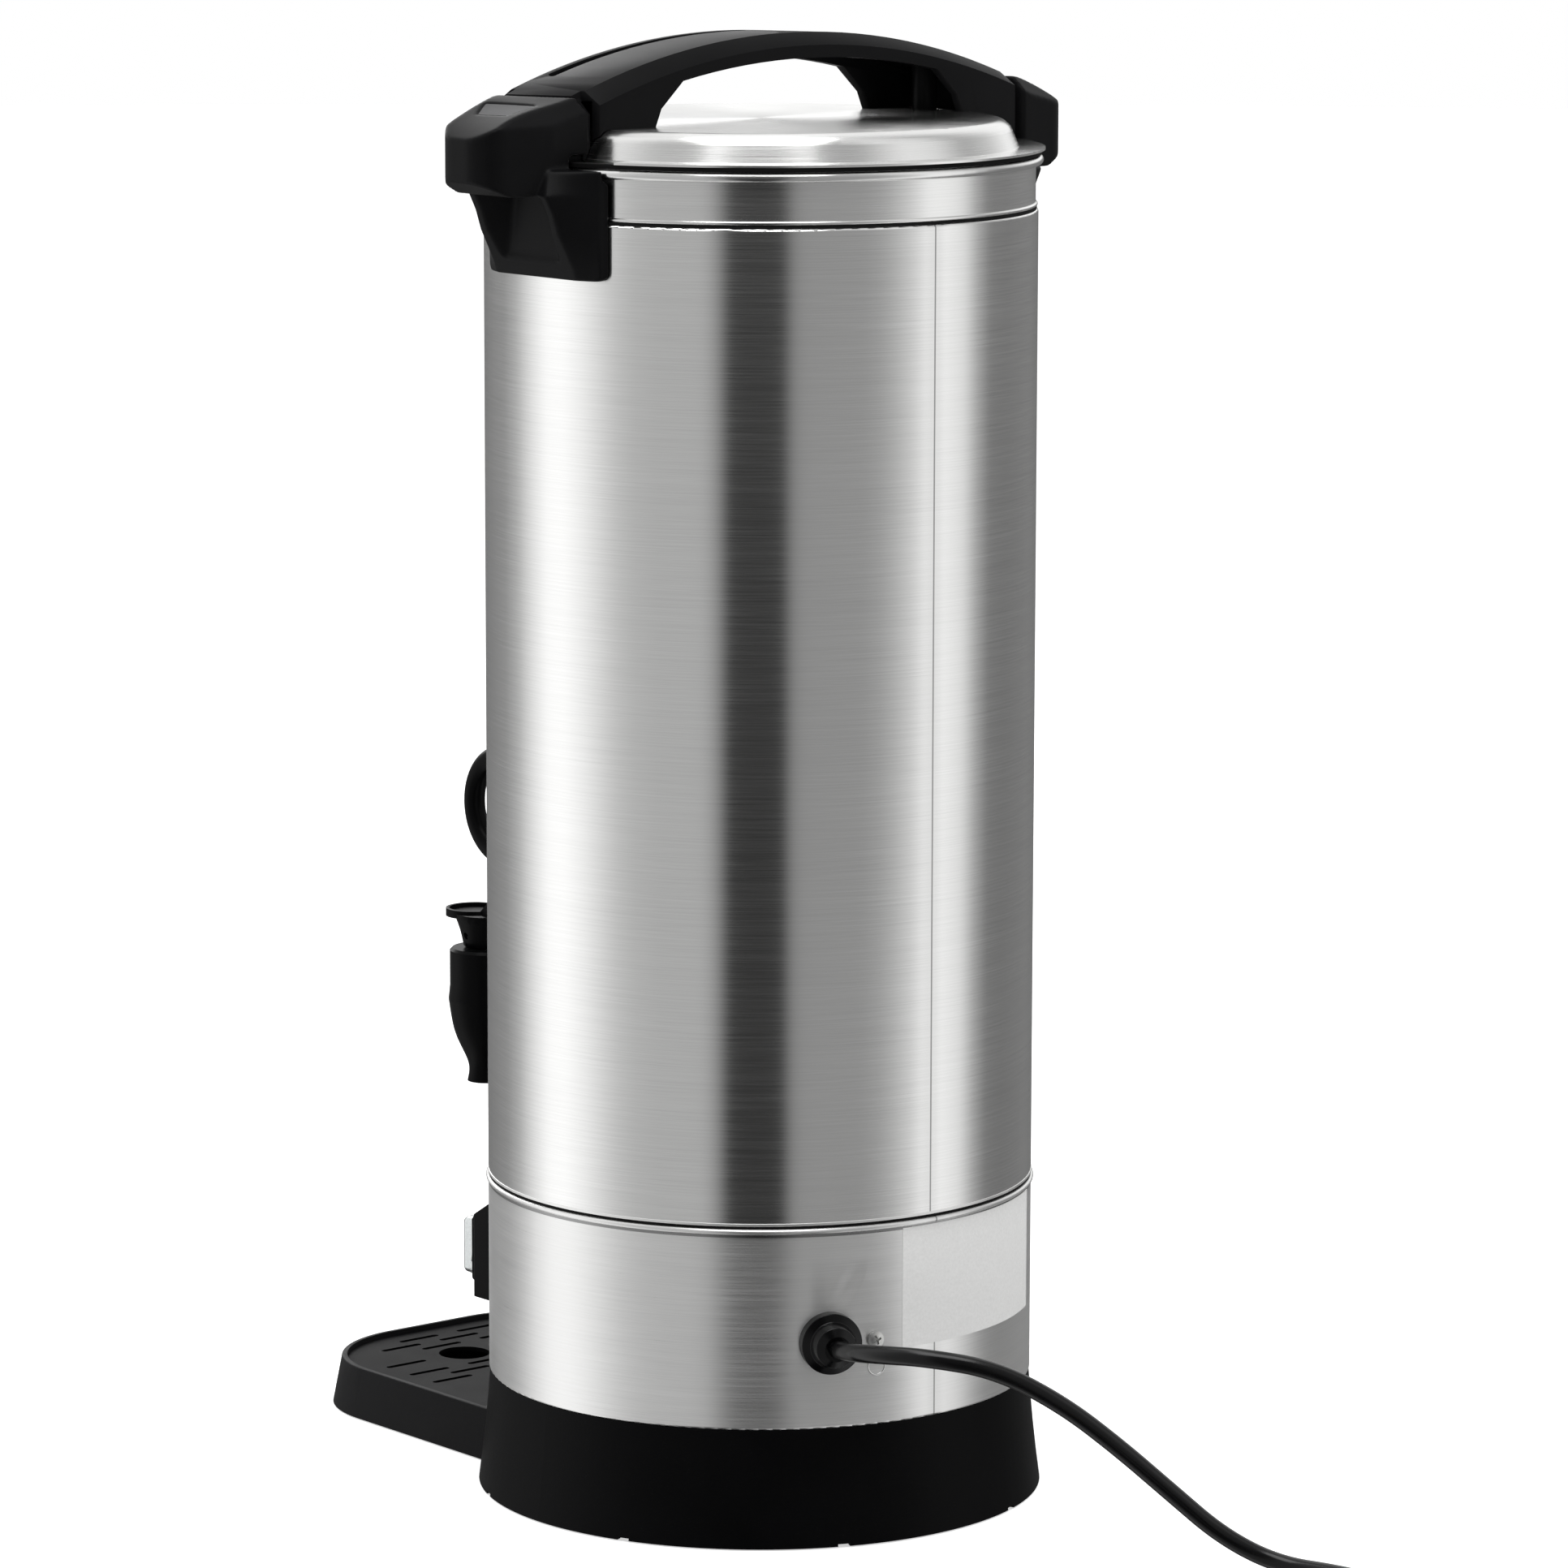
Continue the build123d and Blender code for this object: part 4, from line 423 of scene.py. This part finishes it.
# rolled sheet: the merged copy is shaded as the true cylinder, across the source's own joint line
def trueWall(name, body):
    piece = mergedCopy(name, "Rolled")
    bpy.ops.object.shade_smooth_by_angle(angle=radians(merging["smooth"]))
    mesh = piece.data
    turned = [tuple(corner.vector) for corner in mesh.corner_normals]
    for face in mesh.polygons:
        for index in face.loop_indices:
            place = mesh.vertices[mesh.loops[index].vertex_index].co
            radial = Vector((place.x, place.y, 0)).normalized()
            side = face.normal.dot(radial)
            if abs(side) > merging["upright"]:
                turned[index] = tuple(radial if side > 0 else -radial)
    mesh.normals_split_custom_set(turned)
    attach(piece, body)
    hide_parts(name)


def roundEdges(name, radius, body):
    piece = mergedCopy(name, "Rounded")
    bpy.ops.object.mode_set(mode="EDIT")
    bpy.ops.mesh.select_all(action="SELECT")
    bpy.ops.mesh.dissolve_limited(angle_limit=radians(merging["flat"]))
    bpy.ops.object.mode_set(mode="OBJECT")
    bevel = piece.modifiers.new("edges", "BEVEL")
    bevel.width = radius
    bevel.segments = 3
    bevel.limit_method = "ANGLE"
    bevel.angle_limit = radians(merging["edge"])
    bpy.ops.object.modifier_apply(modifier="edges")
    bpy.ops.object.shade_smooth_by_angle(angle=radians(merging["smooth"]))
    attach(piece, body)
    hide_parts(name)
    return piece


def softForm(name, grid, passes, body):
    piece = mergedCopy(name, "Soft")
    remesh = piece.modifiers.new("grid", "REMESH")
    remesh.mode = "VOXEL"
    remesh.voxel_size = grid
    bpy.ops.object.modifier_apply(modifier="grid")
    smooth = piece.modifiers.new("soften", "SMOOTH")
    smooth.factor = 0.5
    smooth.iterations = passes
    bpy.ops.object.modifier_apply(modifier="soften")
    bpy.ops.object.shade_smooth()
    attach(piece, body)
    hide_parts(name)


for name, size in rounded.items():
    roundEdges(name, size["radius"], size["body"])
for name, size in softened.items():
    softForm(name, size["grid"], size["passes"], size["body"])
for name in rolledSheets:
    trueWall(name, "urn")
print("edges rounded")


# rings drawn from a small rectangle that is swung round the vessel's axis; sizes in millimetres
rings = {
    # painted shade: dark ring filling the gap between the jacket's foot and the band's top
    "seamGapShade": {"inside": 109.9, "outside": 110.75, "foot": 128.75, "head": 129.85,
                 "corner": 0.2, "look": "gasketRubberAndGapShade"},
    "jacketHem": {"inside": 110.5, "outside": 111.2, "foot": 129.9, "head": 131.0,
                  "corner": 0.15, "look": "hemSteel"},
    # painted shade: a dark skin ring over the band's crease
    "bandCreaseShade": {"inside": 110.9, "outside": 111.04, "foot": 125.3, "head": 126.5,
                   "corner": 0.03, "look": "creaseShadeSteel"},
    # painted shade: dark ring filling the gap between the tank's collar and the jacket's top
    "collarGapShade": {"inside": 109.9, "outside": 110.35, "foot": 522.45, "head": 523.6,
                   "corner": 0.15, "look": "gasketRubberAndGapShade"},
}


def swingRing(name, size, start=0, sweep=360, steps=180):
    width = (size["outside"] - size["inside"]) / 1000
    height = (size["head"] - size["foot"]) / 1000
    bpy.ops.object.select_all(action="DESELECT")
    bpy.ops.mesh.primitive_plane_add(size=1, location=(0, 0, 0))
    piece = bpy.context.active_object
    piece.name = name
    bpy.ops.object.mode_set(mode="EDIT")
    bpy.ops.mesh.select_all(action="SELECT")
    bpy.ops.transform.rotate(value=radians(90), orient_axis="X", center_override=(0, 0, 0))
    bpy.ops.transform.resize(value=(width, 1, height), center_override=(0, 0, 0))
    bpy.ops.mesh.bevel(offset=size["corner"] / 1000, segments=3, affect="VERTICES")
    bpy.ops.mesh.select_all(action="SELECT")
    bpy.ops.transform.translate(value=((size["inside"] + size["outside"]) / 2000, 0,
                                       (size["foot"] + size["head"]) / 2000))
    bpy.ops.transform.rotate(value=-radians(start), orient_axis="Z", center_override=(0, 0, 0))
    bpy.ops.mesh.spin(steps=steps, angle=-radians(sweep), center=(0, 0, 0), axis=(0, 0, 1))
    bpy.ops.mesh.select_all(action="SELECT")
    bpy.ops.mesh.remove_doubles(threshold=0.000002)
    if sweep == 360:
        bpy.ops.mesh.select_all(action="DESELECT")
        bpy.ops.mesh.select_interior_faces()
        bpy.ops.mesh.delete(type="FACE")
    bpy.ops.mesh.select_all(action="SELECT")
    bpy.ops.mesh.normals_make_consistent(inside=False)
    bpy.ops.object.mode_set(mode="OBJECT")
    bpy.ops.object.shade_smooth_by_angle(angle=radians(40))
    piece.data.materials.append(looks[size["look"]])
    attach(piece, "urn")
    return piece


for name, size in rings.items():
    swingRing(name, size)
print("rings swung")


# blank paper label beside the cord
paperLabel = {"inside": 111.01, "outside": 111.13, "foot": 77.4, "head": 125.9, "corner": 0.03,
              "look": "labelPaper", "from": 81.2, "to": 128.0}
swingRing("paperLabel", paperLabel, paperLabel["from"], paperLabel["to"] - paperLabel["from"], 48)
print("label laid")


# earth screw with its cross recess, and the small ring pressed into the band below it
earthScrew = {"angle": 74.8, "height": 0.0822, "head": 0.0034, "rise": 0.0014, "dome": 0.0009,
              "recess": (0.0040, 0.0009, 0.0012), "reach": 0.1111}
earthRing = {"angle": 75.2, "height": 0.0712, "radius": 0.0036, "wire": 0.00035}


def turnOutwards(piece, angle, height, reach):
    piece.rotation_euler = (0, radians(90), radians(angle))
    piece.location = (reach * cos(radians(angle)), reach * sin(radians(angle)), height)
    pickPiece(piece)
    bpy.ops.object.transform_apply(location=True, rotation=True, scale=True)


def makeEarthScrew():
    bpy.ops.object.select_all(action="DESELECT")
    bpy.ops.mesh.primitive_cylinder_add(vertices=40, radius=earthScrew["head"],
                                        depth=earthScrew["rise"],
                                        location=(0, 0, earthScrew["rise"] / 2))
    piece = bpy.context.active_object
    piece.name = "earthScrew"
    bpy.ops.object.transform_apply(location=True)
    bpy.ops.object.mode_set(mode="EDIT")
    bpy.ops.mesh.select_all(action="DESELECT")
    bpy.ops.object.mode_set(mode="OBJECT")
    for face in piece.data.polygons:
        face.select = face.normal.z > 0.9
    bpy.ops.object.mode_set(mode="EDIT")
    for share in (0.30, 0.45, 0.5):
        bpy.ops.mesh.inset(thickness=earthScrew["head"] * 0.22)
        bpy.ops.transform.translate(value=(0, 0, earthScrew["dome"] * share * 0.7))
    bpy.ops.object.mode_set(mode="OBJECT")
    cutters = []
    for turn in (0, 90):
        bpy.ops.object.select_all(action="DESELECT")
        bpy.ops.mesh.primitive_cube_add(size=1, location=(0, 0, earthScrew["rise"] + 0.0008),
                                        rotation=(0, 0, radians(turn + 20)))
        cutter = bpy.context.active_object
        cutter.scale = earthScrew["recess"][0], earthScrew["recess"][1], 0.0024
        bpy.ops.object.transform_apply(location=True, rotation=True, scale=True)
        cutters.append(cutter)
    pickPiece(piece)
    for cutter in cutters:
        cut = piece.modifiers.new("recess", "BOOLEAN")
        cut.object = cutter
        cut.operation = "DIFFERENCE"
        cut.solver = "EXACT"
        bpy.ops.object.modifier_apply(modifier="recess")
    for cutter in cutters:
        bpy.data.objects.remove(cutter)
    bpy.ops.object.shade_smooth_by_angle(angle=radians(35))
    turnOutwards(piece, earthScrew["angle"], earthScrew["height"], earthScrew["reach"])
    piece.data.materials.append(looks["zinc"])
    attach(piece, "urn")
    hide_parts("ground_screw")
    return piece


makeEarthScrew()
bpy.ops.object.select_all(action="DESELECT")
bpy.ops.mesh.primitive_torus_add(major_radius=earthRing["radius"], minor_radius=earthRing["wire"],
                                 major_segments=48, minor_segments=8)
earthMark = bpy.context.active_object
earthMark.name = "earthMark"
bpy.ops.object.mode_set(mode="EDIT")
bpy.ops.mesh.select_all(action="SELECT")
bpy.ops.transform.resize(value=(1, 1, 0.5), center_override=(0, 0, 0))
bpy.ops.object.mode_set(mode="OBJECT")
bpy.ops.object.shade_smooth()
turnOutwards(earthMark, earthRing["angle"], earthRing["height"], earthScrew["reach"] - 0.00005)
earthMark.data.materials.append(looks["tankSteel"])
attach(earthMark, "urn")
print("earth screw set")


# supply cord joins
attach(supplyCord, "urn")
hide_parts("cord", "cord_tail", "cord_coil")


# floor, studio and lamps
studio = {
    "heading": 50.5,        # degrees, the way the photographer stands
    "floorRadius": 9.0,
    "around": [  # degrees to the right of the camera, brightness
        (-180, 0.14), (-150, 0.22), (-134, 0.28), (-122, 0.46), (-110, 0.86), (-100, 1.16),
        (-90, 1.18), (-80, 1.0), (-71, 0.78), (-63, 0.60), (-54, 0.50), (-44, 0.46),
        (-24, 0.45), (-19, 0.34), (-13, 0.025), (9, 0.025), (14, 0.26), (18, 0.29), (43, 0.30),
        (51, 0.36), (58, 0.47), (66, 0.66), (74, 0.98), (83, 0.98), (93, 0.84), (101, 0.42),
        (110, 0.19), (122, 0.17), (150, 0.20), (180, 0.14),
    ],
    "above": [(-180, 1.0), (-148, 1.0), (-128, 0.7), (-100, 1.1), (-80, 0.95), (-54, 0.5),
              (-24, 0.45), (-13, 0.10), (9, 0.10), (18, 0.3), (51, 0.4), (74, 0.9), (93, 0.8),
              (110, 0.4), (128, 0.6), (148, 1.0), (180, 1.0)],
}


def makeStudio():
    world = bpy.data.worlds.new("studio")
    bpy.context.scene.world = world
    world.use_nodes = True
    tree = world.node_tree
    background = tree.nodes["Background"]
    direction = tree.nodes.new("ShaderNodeTexCoord").outputs["Generated"]
    turned = addNode(tree, "ShaderNodeVectorRotate", {"rotation_type": "Z_AXIS"},
                     Vector=direction, Angle=-radians(studio["heading"])).outputs["Vector"]
    parts = addNode(tree, "ShaderNodeSeparateXYZ", Vector=turned)
    bearing = math(tree, "ARCTAN2", parts.outputs["Y"], parts.outputs["X"])
    bearing = math(tree, "ADD", math(tree, "DIVIDE", bearing, radians(360)), 0.5)
    low = ramp(tree, bearing, [((a + 180) / 360, value) for a, value in studio["around"]])
    high = ramp(tree, bearing, [((a + 180) / 360, value) for a, value in studio["above"]])
    rise = addNode(tree, "ShaderNodeMapRange", {"interpolation_type": "SMOOTHSTEP"},
                   Value=parts.outputs["Z"], From_Min=0.0, From_Max=0.09).outputs["Result"]
    mixed = addNode(tree, "ShaderNodeMix", {"data_type": "RGBA"}, i0=rise, i6=low, i7=high)
    rays = tree.nodes.new("ShaderNodeLightPath")
    seen = addNode(tree, "ShaderNodeMix", {"data_type": "RGBA"}, i0=rays.outputs["Is Camera Ray"],
                   i6=mixed.outputs[2], i7=(1, 1, 1, 1))
    tree.links.new(seen.outputs[2], background.inputs["Color"])
    bpy.ops.object.select_all(action="DESELECT")
    bpy.ops.mesh.primitive_circle_add(vertices=64, radius=studio["floorRadius"],
                                      fill_type="NGON", location=(0, 0, -0.0005))
    floor = bpy.context.active_object
    floor.name = "floor"
    material, floorTree, shader = newMaterial("paleFloor", 0.9, 0.0, (0.88, 0.88, 0.88))
    rays = floorTree.nodes.new("ShaderNodeLightPath")
    shader.inputs["Emission Color"].default_value = (1, 1, 1, 1)
    floorTree.links.new(math(floorTree, "MULTIPLY", rays.outputs["Is Camera Ray"], 0.55),
                        shader.inputs["Emission Strength"])
    floor.data.materials.append(material)
    floor.visible_glossy = False


def addLamp(name, place, aim, size, power):
    lamp = bpy.data.lights.new(name, "AREA")
    lamp.shape = "RECTANGLE"
    lamp.size, lamp.size_y = size
    lamp.energy = power
    piece = bpy.data.objects.new(name, lamp)
    piece.location = place
    piece.rotation_euler = (Vector(aim) - Vector(place)).to_track_quat("-Z", "Y").to_euler()
    bpy.context.scene.collection.objects.link(piece)
    piece.visible_glossy = True
    return piece


lamps = {  # metres and watts
    "topBox": {"place": (0.5, 0.6, 2.6), "size": (1.6, 1.6), "power": 30},
    "frontFill": {"place": (-0.6, -2.2, 1.4), "size": (1.4, 1.4), "power": 16},
}
lampAim = (0, 0, 0.3)
makeStudio()
for name, lamp in lamps.items():
    addLamp(name, lamp["place"], lampAim, lamp["size"], lamp["power"])
print("studio built")
